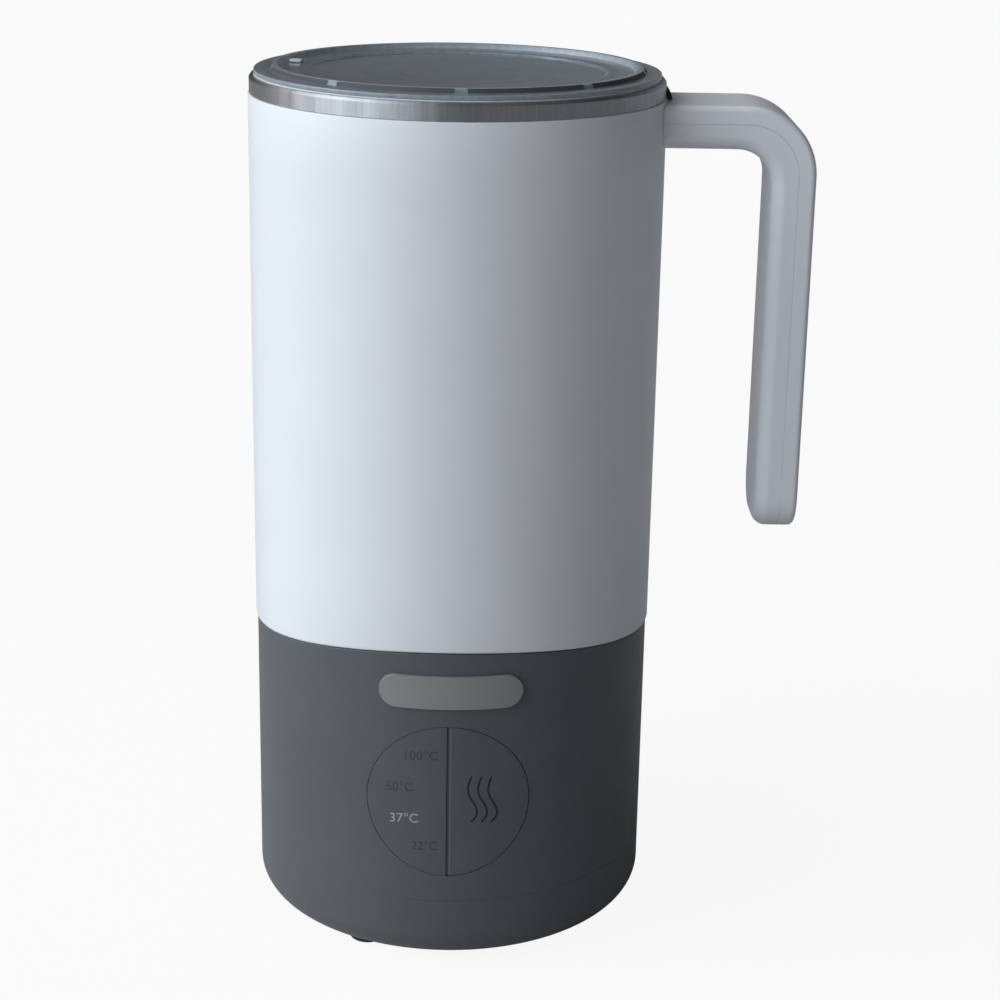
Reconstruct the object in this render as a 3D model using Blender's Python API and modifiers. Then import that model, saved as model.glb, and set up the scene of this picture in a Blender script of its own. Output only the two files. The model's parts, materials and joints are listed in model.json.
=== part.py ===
"""Cordless baby milk preparer: a heating jug with a stirrer, standing on its power base.

Metres, +Z up. The origin lies on the table, under the middle of the overall box.
The control panel faces -Y and the handle points to +X.
Everything is placed from one empty, body_axis, which stands on the jug's own axis.
"""

import math

import bmesh
import bpy
from mathutils import Matrix

# ---------------------------------------------------------------- driving dimensions
GAP = 0.0003                    # air between two pieces that touch

BODY_RADIUS = 0.0525            # white shell
LOWER_RADIUS = 0.0521           # dark housing and power base
GRIP_REACH = 0.0897             # from the jug's axis to the outer face of the grip
AXIS_X = (BODY_RADIUS - GRIP_REACH) / 2

FOOT_STAND = 0.0013             # how far the feet hold the power base off the table
BASE_SPLIT_Z = 0.0186           # the jug above, the power base below
SEAM_TOP_Z = 0.0866             # highest point of the arched seam, at the front and back
SEAM_ARC_RADIUS = 0.204
BAND_BOTTOM_Z = 0.2175
BAND_TOP_Z = 0.2218
LID_TOP_Z = 0.2245              # top of the raised ring on the lid
LID_RIBS = 9
LID_RIB_ANGLE = 271.5           # one rib is just right of the front

WALL = 0.0022                   # moulded plastic walls
STEEL = 0.0008                  # drawn steel of the pot
EDGE = 0.0005                   # small broken edges
SCREW_BORE = 0.0018             # radius of the hole round a 3 mm screw
HEAD_ROOM = 0.001               # height of the counterbore for a screw's head

# Power base
BASE_FILLET = 0.0075
FOOT_RADIUS = 0.0048
FOOT_CIRCLE = 0.0418
FOOT_TOP_Z = 0.0019
FOOT_ANGLES = (240, 0, 120)
DECK_TOP_Z = 0.0172
BASE_SCREW_CIRCLE = 0.030
BASE_SCREW_ANGLES = (30, 150, 270)
TOWER_RADIUS = 0.008            # raised middle of the cordless connector
TOWER_TOP_Z = 0.029
CORD_HOLE_Z = 0.0105
CORD_BORE = 0.0029

# Jug: floor, housing and panel
FLOOR_BOTTOM_Z = BASE_SPLIT_Z + GAP
FLOOR_TOP_Z = FLOOR_BOTTOM_Z + WALL
LEG_CIRCLE = 0.043
LEG_RADIUS = 0.004
LEG_ANGLES = (90, 210, 330)
TONGUE_RADIUS = 0.04995         # collar of the housing that plugs into the shell
TONGUE_HEIGHT = 0.005
PANEL_Z = 0.0463
PANEL_RADIUS = 0.0207
BUTTON_RADIUS = PANEL_RADIUS - GAP
BUTTON_THICKNESS = 0.002
GROOVE_HALF_WIDTH = 0.00085     # groove between the two half-round buttons
FRAME_OUTER = 0.0490            # radius of the frame behind the buttons
FRAME_THICKNESS = 0.0017
PLUNGER_RADIUS = 0.0018
PLUNGER_TIP_Y = -0.0445
TEMPERATURE_PLUNGER_X = -0.0155
START_PLUNGER_X = 0.009
BADGE_X = 0.0005
BADGE_Z = 0.0763
BADGE_WIDTH = 0.036
BADGE_HEIGHT = 0.0086
LEGEND_SPOTS = ((-0.0067, 0.0590), (-0.0123, 0.0500), (-0.0111, 0.0414), (-0.0059, 0.0341))

# Jug: shell, pot and rim
SHELL_INNER = 0.0503
RIM_STEP_RADIUS = 0.0513
RIM_STEP_Z = 0.2186
BAND_RADIUS = 0.0522
BAND_ROUND = 0.0019
POT_RADIUS = 0.045              # outside of the pot below its mouth
MOUTH_RADIUS = 0.050            # outside of the pot at its mouth
POT_FLANGE_RADIUS = 0.0508
POT_FLOOR_Z = 0.086
POT_CORNER = 0.0088
CONE_BOTTOM_Z = 0.2122
CONE_TOP_Z = 0.2162
POT_FLANGE_Z = 0.2201

# Handle: an L of constant section, split along its length into two shells
HANDLE_TOP_Z = 0.2167
HANDLE_THICKNESS = 0.011
HANDLE_HALF_WIDTH = 0.013
HANDLE_ROUND = 0.0027
HANDLE_CORNER = 0.0175          # outer radius of the bend
HANDLE_INNER_CORNER = 0.009      # inner radius of the bend
HANDLE_TIP_Z = 0.1057
HANDLE_TIP_ROUND = 0.010        # corners of the grip's end, seen from the side
HANDLE_SPLIT = 0.0045           # depth of the split below the outer face
HANDLE_SKIN = 0.0018
HANDLE_ROOT_X = 0.061           # solid root between the jug and the hollow arm
HANDLE_SCREW_Y = 0.008
HANDLE_SCREW_Z = 0.209
KEY_REACH = 0.0536              # small wedge between the band and the top of the handle
KEY_HALF_WIDTH = 0.004
KEY_LIP = 0.0004
KEY_HEIGHT = 0.0023

# Drive, heater and electronics
ROTOR_RADIUS = 0.016
ROTOR_BOTTOM_Z = 0.076
ROTOR_TOP_Z = 0.0846
SHAFT_RADIUS = 0.001
MOTOR_RADIUS = 0.012
MOTOR_BOTTOM_Z = 0.0503
MOTOR_TOP_Z = 0.0714
PLATE_INNER = 0.0185
PLATE_OUTER = 0.042
PLATE_BOTTOM_Z = 0.0809
PLATE_TOP_Z = 0.0857
ELEMENT_CIRCLE = 0.030
ELEMENT_RADIUS = 0.0032
ELEMENT_Z = 0.0773
ELEMENT_GAP_DEG = 60            # opening of the ring, at the back
SUPPORT_INNER = 0.0425
SUPPORT_OUTER = 0.0477
SUPPORT_Z = 0.074
SENSOR_RADIUS = 0.003
SENSOR_Y = -0.0368
WHISK_RADIUS = 0.017
WHISK_BOTTOM_Z = 0.088
WHISK_BLADES = 6
MAGNET_CIRCLE = 0.010
BOARD_Y = -0.0406
BOARD_THICKNESS = 0.0016
POWER_BOARD_TOP_Z = 0.0356

ROUND_STEPS = 40                # segments of the large turned pieces
SMALL_STEPS = 24
PIN_STEPS = 16
SCREW_STEPS = 8
SMOOTH_ANGLE = math.radians(35)
MERGE = 0.00001

# ---------------------------------------------------------------- scene set-up
for old in list(bpy.data.objects):
    bpy.data.objects.remove(old, do_unlink=True)

parts = bpy.data.collections.new("milk_preparer")
cutters = bpy.data.collections.new("cutters")
bpy.context.scene.collection.children.link(parts)
bpy.context.scene.collection.children.link(cutters)

body_axis = bpy.data.objects.new("body_axis", None)
body_axis.location = (AXIS_X, 0, 0)
body_axis.empty_display_size = 0.03
parts.objects.link(body_axis)


def finish(name, colour, roughness, metallic=0.0, transmission=0.0):
    """A Principled material."""
    material = bpy.data.materials.new(name)
    material.use_nodes = True
    shader = material.node_tree.nodes["Principled BSDF"]
    shader.inputs["Base Color"].default_value = (*colour, 1.0)
    shader.inputs["Roughness"].default_value = roughness
    shader.inputs["Metallic"].default_value = metallic
    shader.inputs["Transmission Weight"].default_value = transmission
    material.diffuse_color = (*colour, 1.0)
    return material


WHITE = finish("white_plastic", (0.78, 0.80, 0.83), 0.42)
DARK = finish("dark_plastic", (0.055, 0.062, 0.070), 0.5)
BLACK = finish("black_plastic", (0.015, 0.015, 0.016), 0.5)
BADGE = finish("badge_plastic", (0.22, 0.22, 0.22), 0.45)
CLEAR = finish("clear_plastic", (0.55, 0.58, 0.60), 0.12, transmission=0.85)
RUBBER = finish("rubber", (0.04, 0.04, 0.042), 0.8)
SILICONE = finish("silicone", (0.62, 0.64, 0.66), 0.6)
STAINLESS = finish("stainless", (0.56, 0.57, 0.58), 0.28, metallic=1.0)
ALUMINIUM = finish("aluminium", (0.72, 0.73, 0.74), 0.4, metallic=1.0)
BRASS = finish("brass", (0.72, 0.55, 0.26), 0.3, metallic=1.0)
BOARD = finish("circuit_board", (0.03, 0.16, 0.07), 0.5)
LED = finish("led", (0.9, 0.9, 0.85), 0.3)


# ---------------------------------------------------------------- modelling helpers
def add(name, mesh, material, location=(0, 0, 0), rotation=(0, 0, 0)):
    """An object of the part, placed from the jug's axis."""
    thing = bpy.data.objects.new(name, mesh)
    thing.parent = body_axis
    thing.location = location
    thing.rotation_euler = rotation
    if material is None:
        cutters.objects.link(thing)
        thing.hide_render = True
        thing.display_type = "WIRE"
    else:
        parts.objects.link(thing)
        mesh.materials.append(material)
    return thing


def arc(centre_r, centre_z, radius, start_deg, end_deg, steps):
    """Points of an arc, both ends included."""
    turn = math.radians(end_deg - start_deg) / steps
    first = math.radians(start_deg)
    return [
        (
            centre_r + radius * math.cos(first + turn * i),
            centre_z + radius * math.sin(first + turn * i),
        )
        for i in range(steps + 1)
    ]


def clockwise(points):
    """The same outline, running down its outer side."""
    area = sum(a[0] * b[1] - b[0] * a[1] for a, b in zip(points, points[1:] + points[:1]))
    return points if area < 0 else points[::-1]


def turned(name, profile, material, steps=ROUND_STEPS, location=(0, 0, 0), rotation=(0, 0, 0)):
    """A piece turned about its own Z axis from (radius, height) points."""
    points = clockwise(profile)
    on_axis = [i for i, (radius, _) in enumerate(points) if radius == 0]
    closed = not on_axis
    if not closed:
        start = next(i for i in on_axis if points[i - 1][0] == 0)
        points = points[start:] + points[:start]
    mesh = bpy.data.meshes.new(name)
    edges = [(i, i + 1) for i in range(len(points) - 1)]
    if closed:
        edges.append((len(points) - 1, 0))
    mesh.from_pydata([(radius, 0, height) for radius, height in points], edges, [])
    thing = add(name, mesh, material, location, rotation)
    screw = thing.modifiers.new("Turn", "SCREW")
    screw.steps = steps
    screw.render_steps = steps
    screw.use_merge_vertices = True
    screw.merge_threshold = MERGE
    screw.use_smooth_shade = True
    return thing


def primitive(name, bm, material, location=(0, 0, 0), rotation=(0, 0, 0)):
    """An object from a bmesh, shaded smooth but for its sharp edges."""
    mesh = bpy.data.meshes.new(name)
    bm.to_mesh(mesh)
    bm.free()
    mesh.shade_smooth()
    mesh.set_sharp_from_angle(angle=SMOOTH_ANGLE)
    return add(name, mesh, material, location, rotation)


def cylinder(name, radius, length, material, location, along="Z", steps=32):
    """A cylinder centred on location."""
    bm = bmesh.new()
    bmesh.ops.create_cone(
        bm,
        cap_ends=True,
        segments=steps,
        radius1=radius,
        radius2=radius,
        depth=length,
    )
    rotation = {"X": (0, math.pi / 2, 0), "Y": (-math.pi / 2, 0, 0), "Z": (0, 0, 0)}[along]
    return primitive(name, bm, material, location, rotation)


def rod(name, radius, bottom, top, material, x=0.0, y=0.0, steps=32):
    """An upright cylinder between two heights."""
    return cylinder(name, radius, top - bottom, material, (x, y, (top + bottom) / 2), "Z", steps)


def block(name, low, high, material, round_edges=0.0, turn=0.0):
    """A box between two corners, turned about the jug's axis."""
    size = [b - a for a, b in zip(low, high)]
    centre = [(a + b) / 2 for a, b in zip(low, high)]
    bm = bmesh.new()
    bmesh.ops.create_cube(bm, size=1.0, matrix=Matrix.Diagonal((*size, 1.0)))
    place = Matrix.Rotation(turn, 4, "Z") @ Matrix.Translation(centre)
    thing = primitive(name, bm, material, place.to_translation(), (0, 0, turn))
    if round_edges:
        bevel = thing.modifiers.new("Round", "BEVEL")
        bevel.width = round_edges
        bevel.segments = 2
    return thing


def prism(name, outline, low_y, high_y, material=None):
    """A flat (x, z) outline drawn out along Y."""
    bm = bmesh.new()
    corners = [bm.verts.new((x, low_y, z)) for x, z in outline]
    face = bm.faces.new(corners)
    drawn = bmesh.ops.extrude_face_region(bm, geom=[face])["geom"]
    moved = [item for item in drawn if isinstance(item, bmesh.types.BMVert)]
    bmesh.ops.translate(bm, verts=moved, vec=(0, high_y - low_y, 0))
    bmesh.ops.recalc_face_normals(bm, faces=bm.faces)
    return primitive(name, bm, material)


def combine(thing, other, operation="DIFFERENCE"):
    """Cut, join or intersect an object with a cutter."""
    boolean = thing.modifiers.new(other.name, "BOOLEAN")
    boolean.operation = operation
    boolean.solver = "EXACT"
    boolean.object = other
    return thing


def polar(radius, degrees):
    """X and Y of a point on a circle about the jug's axis; 0 degrees is +X."""
    angle = math.radians(degrees)
    return radius * math.cos(angle), radius * math.sin(angle)


def screw_fastener(name, head_bottom, shank_top, x, y):
    """An upright pan-head screw, driven from below."""
    head_height = 0.0007
    profile = [
        (0, head_bottom),
        (0.0026, head_bottom),
        (0.003, head_bottom + head_height / 2),
        (0.003, head_bottom + head_height),
        (0.0015, head_bottom + head_height),
        (0.0015, shank_top - 0.001),
        (0.0007, shank_top),
        (0, shank_top),
    ]
    return turned(name, profile, STAINLESS, SCREW_STEPS, (x, y, 0))


def screw_hole(name, low, sink_top, bore_top, x, y):
    """A cutter for a screw driven from below: a counterbore for its head, then a bore."""
    sink_radius = 0.0034
    bore_radius = 0.0019
    profile = [
        (0, low),
        (sink_radius, low),
        (sink_radius, sink_top),
        (bore_radius, sink_top),
        (bore_radius, bore_top),
        (0, bore_top),
    ]
    return turned(name, profile, None, 2 * SCREW_STEPS, (x, y, 0))


# ---------------------------------------------------------------- seam outlines
def seam_height(x):
    """Height of the arched seam at a distance x from the jug's middle plane."""
    return SEAM_TOP_Z - SEAM_ARC_RADIUS + math.sqrt(SEAM_ARC_RADIUS**2 - x**2)


def seam_outline(lift, far_z):
    """The region between the seam, lifted, and a far height."""
    reach = 0.06
    steps = 24
    across = [-reach + 2 * reach * i / steps for i in range(steps + 1)]
    return [(x, seam_height(x) + lift) for x in across] + [(reach, far_z), (-reach, far_z)]


def half_disc(radius, side, clearance, steps=32):
    """A half-round outline on one side of the panel's vertical centre line."""
    limit = math.degrees(math.acos(clearance / radius))
    return [(side * x, z) for x, z in arc(0, PANEL_Z, radius, -limit, limit, steps)]


def pill(centre_x, centre_z, width, height, steps=10):
    """A bar outline with round ends."""
    end = height / 2
    reach = width / 2 - end
    right = arc(centre_x + reach, centre_z, end, -90, 90, steps)
    left = arc(centre_x - reach, centre_z, end, 90, 270, steps)
    return right + left


# ---------------------------------------------------------------- power base
def power_base():
    outer_corner = LOWER_RADIUS - BASE_FILLET
    corner_z = FOOT_STAND + BASE_FILLET
    inner_radius = LOWER_RADIUS - WALL
    rim_z = BASE_SPLIT_Z - GAP
    profile = [(0, FOOT_STAND)]
    profile += arc(outer_corner, corner_z, BASE_FILLET, -90, 0, 5)
    profile += [(LOWER_RADIUS, rim_z), (inner_radius, rim_z)]
    profile += arc(outer_corner, corner_z, BASE_FILLET - WALL, 0, -90, 3)
    profile += [(0, FOOT_STAND + WALL)]
    tray = turned("power_base_tray", profile, DARK)

    for number, angle in enumerate(FOOT_ANGLES, 1):
        x, y = polar(FOOT_CIRCLE, angle)
        rod(f"foot_{number}", FOOT_RADIUS, 0, FOOT_TOP_Z, RUBBER, x, y, SMALL_STEPS)
        pocket_top = FOOT_TOP_Z + GAP
        pocket = rod(
            f"foot_pocket_{number}", FOOT_RADIUS + GAP, -GAP, pocket_top, None, x, y, SMALL_STEPS
        )
        combine(tray, pocket)

    deck_bottom = DECK_TOP_Z - WALL
    connector_hole = 2 * TOWER_RADIUS + GAP
    deck_rim = inner_radius - GAP
    deck = turned(
        "power_base_deck",
        [
            (connector_hole, deck_bottom),
            (deck_rim, deck_bottom),
            (deck_rim, DECK_TOP_Z - EDGE),
            (deck_rim - EDGE, DECK_TOP_Z),
            (connector_hole, DECK_TOP_Z),
        ],
        DARK,
    )
    boss_radius = 0.004
    boss_bottom = FOOT_STAND + WALL + GAP
    boss_top = deck_bottom + 0.001
    head_z = FOOT_STAND + GAP
    shank_top = 0.0125
    bore_top = shank_top + GAP
    for number, angle in enumerate(BASE_SCREW_ANGLES, 1):
        x, y = polar(BASE_SCREW_CIRCLE, angle)
        boss = rod(
            f"deck_boss_{number}", boss_radius, boss_bottom, boss_top, None, x, y, PIN_STEPS
        )
        bore = rod(f"deck_bore_{number}", SCREW_BORE, 0, bore_top, None, x, y, SCREW_STEPS)
        combine(deck, boss, "UNION")
        combine(deck, bore)
        combine(tray, screw_hole(f"tray_hole_{number}", 0, head_z + HEAD_ROOM, 0.006, x, y))
        screw_fastener(f"base_screw_{number}", head_z, shank_top, x, y)

    flange = 2 * TOWER_RADIUS
    turned(
        "base_connector",
        [
            (0, 0.0045),
            (flange - 0.003, 0.0045),
            (flange, 0.0075),
            (flange, DECK_TOP_Z),
            (TOWER_RADIUS, DECK_TOP_Z),
            (TOWER_RADIUS, TOWER_TOP_Z - 0.001),
            (TOWER_RADIUS - 0.001, TOWER_TOP_Z),
            (0.0062, TOWER_TOP_Z),
            (0.0062, DECK_TOP_Z + 0.001),
            (0.0048, DECK_TOP_Z + 0.001),
            (0.0048, TOWER_TOP_Z),
            (0.0030, TOWER_TOP_Z),
            (0.0030, 0.014),
            (0, 0.014),
        ],
        BLACK,
        SMALL_STEPS,
    )
    turned(
        "base_contact",
        [(0.0021, 0.0143), (0.0027, 0.0143), (0.0027, 0.028), (0.0021, 0.028)],
        BRASS,
        PIN_STEPS,
    )
    cord_outlet(tray)


def cord_outlet(tray):
    """The bush in the back wall where the mains lead leaves the power base."""
    bush_radius = CORD_BORE + 0.0008
    flange_radius = bush_radius + 0.0005
    face = -(LOWER_RADIUS - 0.0003)
    inner = -0.0478
    turned(
        "cord_bush",
        [
            (CORD_BORE, inner),
            (flange_radius, inner),
            (flange_radius, inner - 0.0013),
            (bush_radius, inner - 0.0013),
            (bush_radius, face + 0.0004),
            (bush_radius - 0.0004, face),
            (CORD_BORE, face),
        ],
        BLACK,
        SMALL_STEPS,
        (0, 0, CORD_HOLE_Z),
        (math.pi / 2, 0, 0),
    )
    centre = (0, LOWER_RADIUS, CORD_HOLE_Z)
    combine(tray, cylinder("cord_hole", bush_radius + GAP, 0.012, None, centre, "Y"))


# ---------------------------------------------------------------- lower half of the jug
def jug_floor():
    connector_hole = 0.0133
    rim = LOWER_RADIUS - WALL - GAP
    floor = turned(
        "jug_floor",
        [
            (connector_hole, FLOOR_BOTTOM_Z),
            (rim, FLOOR_BOTTOM_Z),
            (rim, FLOOR_TOP_Z),
            (connector_hole, FLOOR_TOP_Z),
        ],
        DARK,
    )
    head_z = FLOOR_BOTTOM_Z + GAP
    for number, angle in enumerate(LEG_ANGLES, 1):
        x, y = polar(LEG_CIRCLE, angle)
        combine(floor, screw_hole(f"floor_hole_{number}", 0.015, head_z + HEAD_ROOM, 0.025, x, y))
        screw_fastener(f"floor_screw_{number}", head_z, 0.032, x, y)

    cup_wall = 0.0130
    roof = 0.0318
    turned(
        "jug_connector",
        [
            (0.0021, roof),
            (cup_wall, roof),
            (cup_wall, 0.0230),
            (0.016, 0.0230),
            (0.016, FLOOR_TOP_Z + GAP),
            (cup_wall, FLOOR_TOP_Z + GAP),
            (cup_wall, FLOOR_BOTTOM_Z),
            (TOWER_RADIUS + 0.0016, FLOOR_BOTTOM_Z),
            (TOWER_RADIUS + 0.0006, FLOOR_BOTTOM_Z + 0.001),
            (TOWER_RADIUS + 0.0006, TOWER_TOP_Z + 0.0006),
            (0.0021, TOWER_TOP_Z + 0.0006),
        ],
        BLACK,
        SMALL_STEPS,
    )
    turned(
        "contact_pin",
        [
            (0, 0.0195),
            (0.0010, 0.0195),
            (0.0018, 0.0203),
            (0.0018, roof + GAP),
            (0.0030, roof + GAP),
            (0.0030, roof + 0.0013),
            (0, roof + 0.0013),
        ],
        BRASS,
        PIN_STEPS,
    )
    turned(
        "contact_ring",
        [(0.0051, 0.020), (0.0059, 0.020), (0.0059, 0.0293), (0.0051, 0.0293)],
        BRASS,
        SMALL_STEPS,
    )


def base_housing():
    inner = LOWER_RADIUS - WALL
    tongue_inner = TONGUE_RADIUS - 0.0018
    blank_top = 0.095               # trimmed to the tongue below
    profile = [
        (inner, BASE_SPLIT_Z),
        (LOWER_RADIUS - GAP, BASE_SPLIT_Z),
        (LOWER_RADIUS, BASE_SPLIT_Z + GAP),
        (LOWER_RADIUS, blank_top),
        (tongue_inner, blank_top),
        (tongue_inner, 0.0745),
        (inner, 0.0715),
    ]
    housing = turned("base_housing", profile, DARK)

    rabbet = turned(
        "housing_rabbet",
        [(TONGUE_RADIUS, 0.060), (0.058, 0.060), (0.058, 0.100), (TONGUE_RADIUS, 0.100)],
        None,
    )
    combine(rabbet, prism("below_seam", seam_outline(0, 0.05), -0.07, 0.07))
    combine(housing, rabbet)
    combine(housing, prism("above_tongue", seam_outline(TONGUE_HEIGHT, 0.12), -0.07, 0.07))
    panel_hole = cylinder(
        "panel_hole", PANEL_RADIUS, 0.02, None, (0, -LOWER_RADIUS, PANEL_Z), "Y", 64
    )
    combine(housing, panel_hole)


def badge():
    plate = turned(
        "badge",
        [
            (LOWER_RADIUS + GAP, BADGE_Z - 0.01),
            (LOWER_RADIUS + 0.001, BADGE_Z - 0.01),
            (LOWER_RADIUS + 0.001, BADGE_Z + 0.01),
            (LOWER_RADIUS + GAP, BADGE_Z + 0.01),
        ],
        BADGE,
    )
    outline = pill(BADGE_X, BADGE_Z, BADGE_WIDTH, BADGE_HEIGHT)
    combine(plate, prism("badge_outline", outline, -0.06, -0.03), "INTERSECT")


def control_panel():
    """Two half-round buttons in a round hole, the frame behind them, and the divider."""
    inner = LOWER_RADIUS - BUTTON_THICKNESS
    sides = (("temperature", -1, TEMPERATURE_PLUNGER_X), ("start", 1, START_PLUNGER_X))
    for label, side, plunger_x in sides:
        button = turned(
            f"{label}_button",
            [(inner, 0.02), (LOWER_RADIUS, 0.02), (LOWER_RADIUS, 0.072), (inner, 0.072)],
            DARK,
        )
        outline = half_disc(BUTTON_RADIUS, side, GROOVE_HALF_WIDTH)
        combine(button, prism(f"{label}_outline", outline, -0.06, -0.03), "INTERSECT")
        skin_y = -math.sqrt((inner + 0.0005) ** 2 - plunger_x**2)
        stem = cylinder(
            f"{label}_plunger",
            PLUNGER_RADIUS,
            PLUNGER_TIP_Y - skin_y,
            None,
            (plunger_x, (skin_y + PLUNGER_TIP_Y) / 2, PANEL_Z),
            "Y",
            20,
        )
        combine(button, stem, "UNION")

    frame_inner = FRAME_OUTER - FRAME_THICKNESS
    frame = turned(
        "button_frame",
        [(frame_inner, 0.018), (FRAME_OUTER, 0.018), (FRAME_OUTER, 0.074), (frame_inner, 0.074)],
        DARK,
    )
    ring = arc(0, PANEL_Z, PANEL_RADIUS + 0.0028, 0, 348.75, 31)
    combine(frame, prism("frame_outline", ring, -0.06, -0.03), "INTERSECT")
    for label, side, _ in sides:
        window = half_disc(PANEL_RADIUS - 0.0017, side, 0.002, 16)
        combine(frame, prism(f"{label}_window", window, -0.06, -0.03))
    divider = block(
        "frame_divider",
        (-0.00055, -(LOWER_RADIUS - 0.0008), PANEL_Z - 0.0195),
        (0.00055, -(frame_inner + 0.0005), PANEL_Z + 0.0195),
        None,
    )
    combine(frame, divider, "UNION")


def control_electronics():
    board_half = 0.021
    front = BOARD_Y
    block(
        "control_board",
        (-board_half, front, 0.027),
        (board_half, front + BOARD_THICKNESS, 0.066),
        BOARD,
    )
    for label, x in (("temperature", TEMPERATURE_PLUNGER_X), ("start", START_PLUNGER_X)):
        half = 0.002
        block(
            f"{label}_switch",
            (x - half, front - GAP - 0.0025, PANEL_Z - half),
            (x + half, front - GAP, PANEL_Z + half),
            BLACK,
            0.0003,
        )
    strip_front = front - GAP - 0.0006
    left, right, low, high = -0.0132, -0.003, 0.031, 0.0615
    strip = block("led_strip", (left, strip_front, low), (right, front - GAP, high), LED)
    for number, (x, z) in enumerate(LEGEND_SPOTS, 1):
        half = 0.0014
        lamp = block(
            f"lamp_{number}",
            (x - half, strip_front - 0.0009, z - half),
            (x + half, strip_front + 0.0002, z + half),
            None,
        )
        combine(strip, lamp, "UNION")
    guide_back = strip_front - 0.0009 - GAP
    block("light_guide", (left, guide_back - 0.0021, low), (right, guide_back, high), CLEAR, 0.0004)

    board_bottom = POWER_BOARD_TOP_Z - BOARD_THICKNESS
    rod("power_board", 0.0375, board_bottom, POWER_BOARD_TOP_Z, BOARD, steps=SMALL_STEPS)
    seat = POWER_BOARD_TOP_Z + GAP
    block("transformer", (-0.023, 0.004, seat), (-0.001, 0.022, seat + 0.0136), BLACK, EDGE)
    block("power_relay", (0.006, 0.004, seat), (0.025, 0.019, seat + 0.0131), BLACK, EDGE)


# ---------------------------------------------------------------- heater and drive
def heater():
    plate = turned(
        "heating_plate",
        [
            (PLATE_INNER, PLATE_BOTTOM_Z),
            (PLATE_OUTER, PLATE_BOTTOM_Z),
            (PLATE_OUTER, PLATE_TOP_Z - 0.001),
            (PLATE_OUTER - 0.001, PLATE_TOP_Z),
            (PLATE_INNER, PLATE_TOP_Z),
        ],
        ALUMINIUM,
    )
    combine(plate, rod("sensor_hole", SENSOR_RADIUS + GAP, 0.075, 0.09, None, 0, SENSOR_Y, 24))
    rod("temperature_sensor", SENSOR_RADIUS, 0.0785, PLATE_TOP_Z - 0.0001, STAINLESS, 0, SENSOR_Y, 24)
    cutout_x, cutout_y = polar(ELEMENT_CIRCLE, 90)
    rod("thermal_cutout", 0.0065, 0.0745, PLATE_BOTTOM_Z - GAP, BLACK, cutout_x, cutout_y, 24)
    heating_element()


def heating_element():
    """A sheathed ring under the plate whose two ends turn down as terminals."""
    start = 90 + ELEMENT_GAP_DEG / 2
    sweep = 360 - ELEMENT_GAP_DEG
    steps = 24
    angles = [start + sweep * i / steps for i in range(steps + 1)]
    ring = [(*polar(ELEMENT_CIRCLE, angle), ELEMENT_Z) for angle in angles]
    bend = 6                        # degrees past the ring where an end turns down
    first = polar(ELEMENT_CIRCLE, start - bend)
    last = polar(ELEMENT_CIRCLE, start + sweep + bend)
    terminal_z = ELEMENT_Z - 0.01265
    drops = (terminal_z, ELEMENT_Z - 0.0055, ELEMENT_Z - 0.0022)
    head = [(*first, z) for z in drops]
    tail = [(*last, z) for z in reversed(drops)]
    tube("heating_element", head + ring + tail, ELEMENT_RADIUS, STAINLESS)

    lead_radius = 0.0012
    lead_top = terminal_z - GAP
    outward = 1.12                  # how far each lead bows away from the middle
    for label, (x, y) in (("left", first), ("right", last)):
        route = [
            (x, y, lead_top),
            (x, y, lead_top - 0.004),
            (x * outward, y, lead_top - 0.010),
            (x * outward, y, lead_top - 0.018),
            (x, y, lead_top - 0.024),
            (x, y, POWER_BOARD_TOP_Z + GAP),
        ]
        tube(f"heater_lead_{label}", route, lead_radius, RUBBER)


def tube(name, points, radius, material):
    """A round wire or tube through the given points."""
    curve = bpy.data.curves.new(name, "CURVE")
    curve.dimensions = "3D"
    curve.bevel_depth = radius
    curve.bevel_resolution = 2
    curve.use_fill_caps = True
    spline = curve.splines.new("POLY")
    spline.points.add(len(points) - 1)
    for point, place in zip(spline.points, points):
        point.co = (*place, 1.0)
    return add(name, curve, material)


def pot_support():
    """The ring under the heating plate, on three legs screwed to the jug's floor."""
    wall = 0.002
    ring = turned(
        "pot_support",
        [
            (SUPPORT_INNER, SUPPORT_Z),
            (SUPPORT_OUTER, SUPPORT_Z),
            (SUPPORT_OUTER, SUPPORT_Z + 0.003),
            (SUPPORT_INNER + wall, SUPPORT_Z + 0.003),
            (SUPPORT_INNER + wall, 0.0845),
            (SUPPORT_INNER, 0.0845),
        ],
        BLACK,
    )
    leg_bottom = FLOOR_TOP_Z + GAP
    leg_top = SUPPORT_Z + 0.001
    for number, angle in enumerate(LEG_ANGLES, 1):
        x, y = polar(LEG_CIRCLE, angle)
        leg = rod(f"leg_{number}", LEG_RADIUS, leg_bottom, leg_top, None, x, y, PIN_STEPS)
        bore = rod(f"leg_bore_{number}", SCREW_BORE, 0.015, 0.033, None, x, y, SCREW_STEPS)
        combine(ring, leg, "UNION")
        combine(ring, bore)


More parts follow.
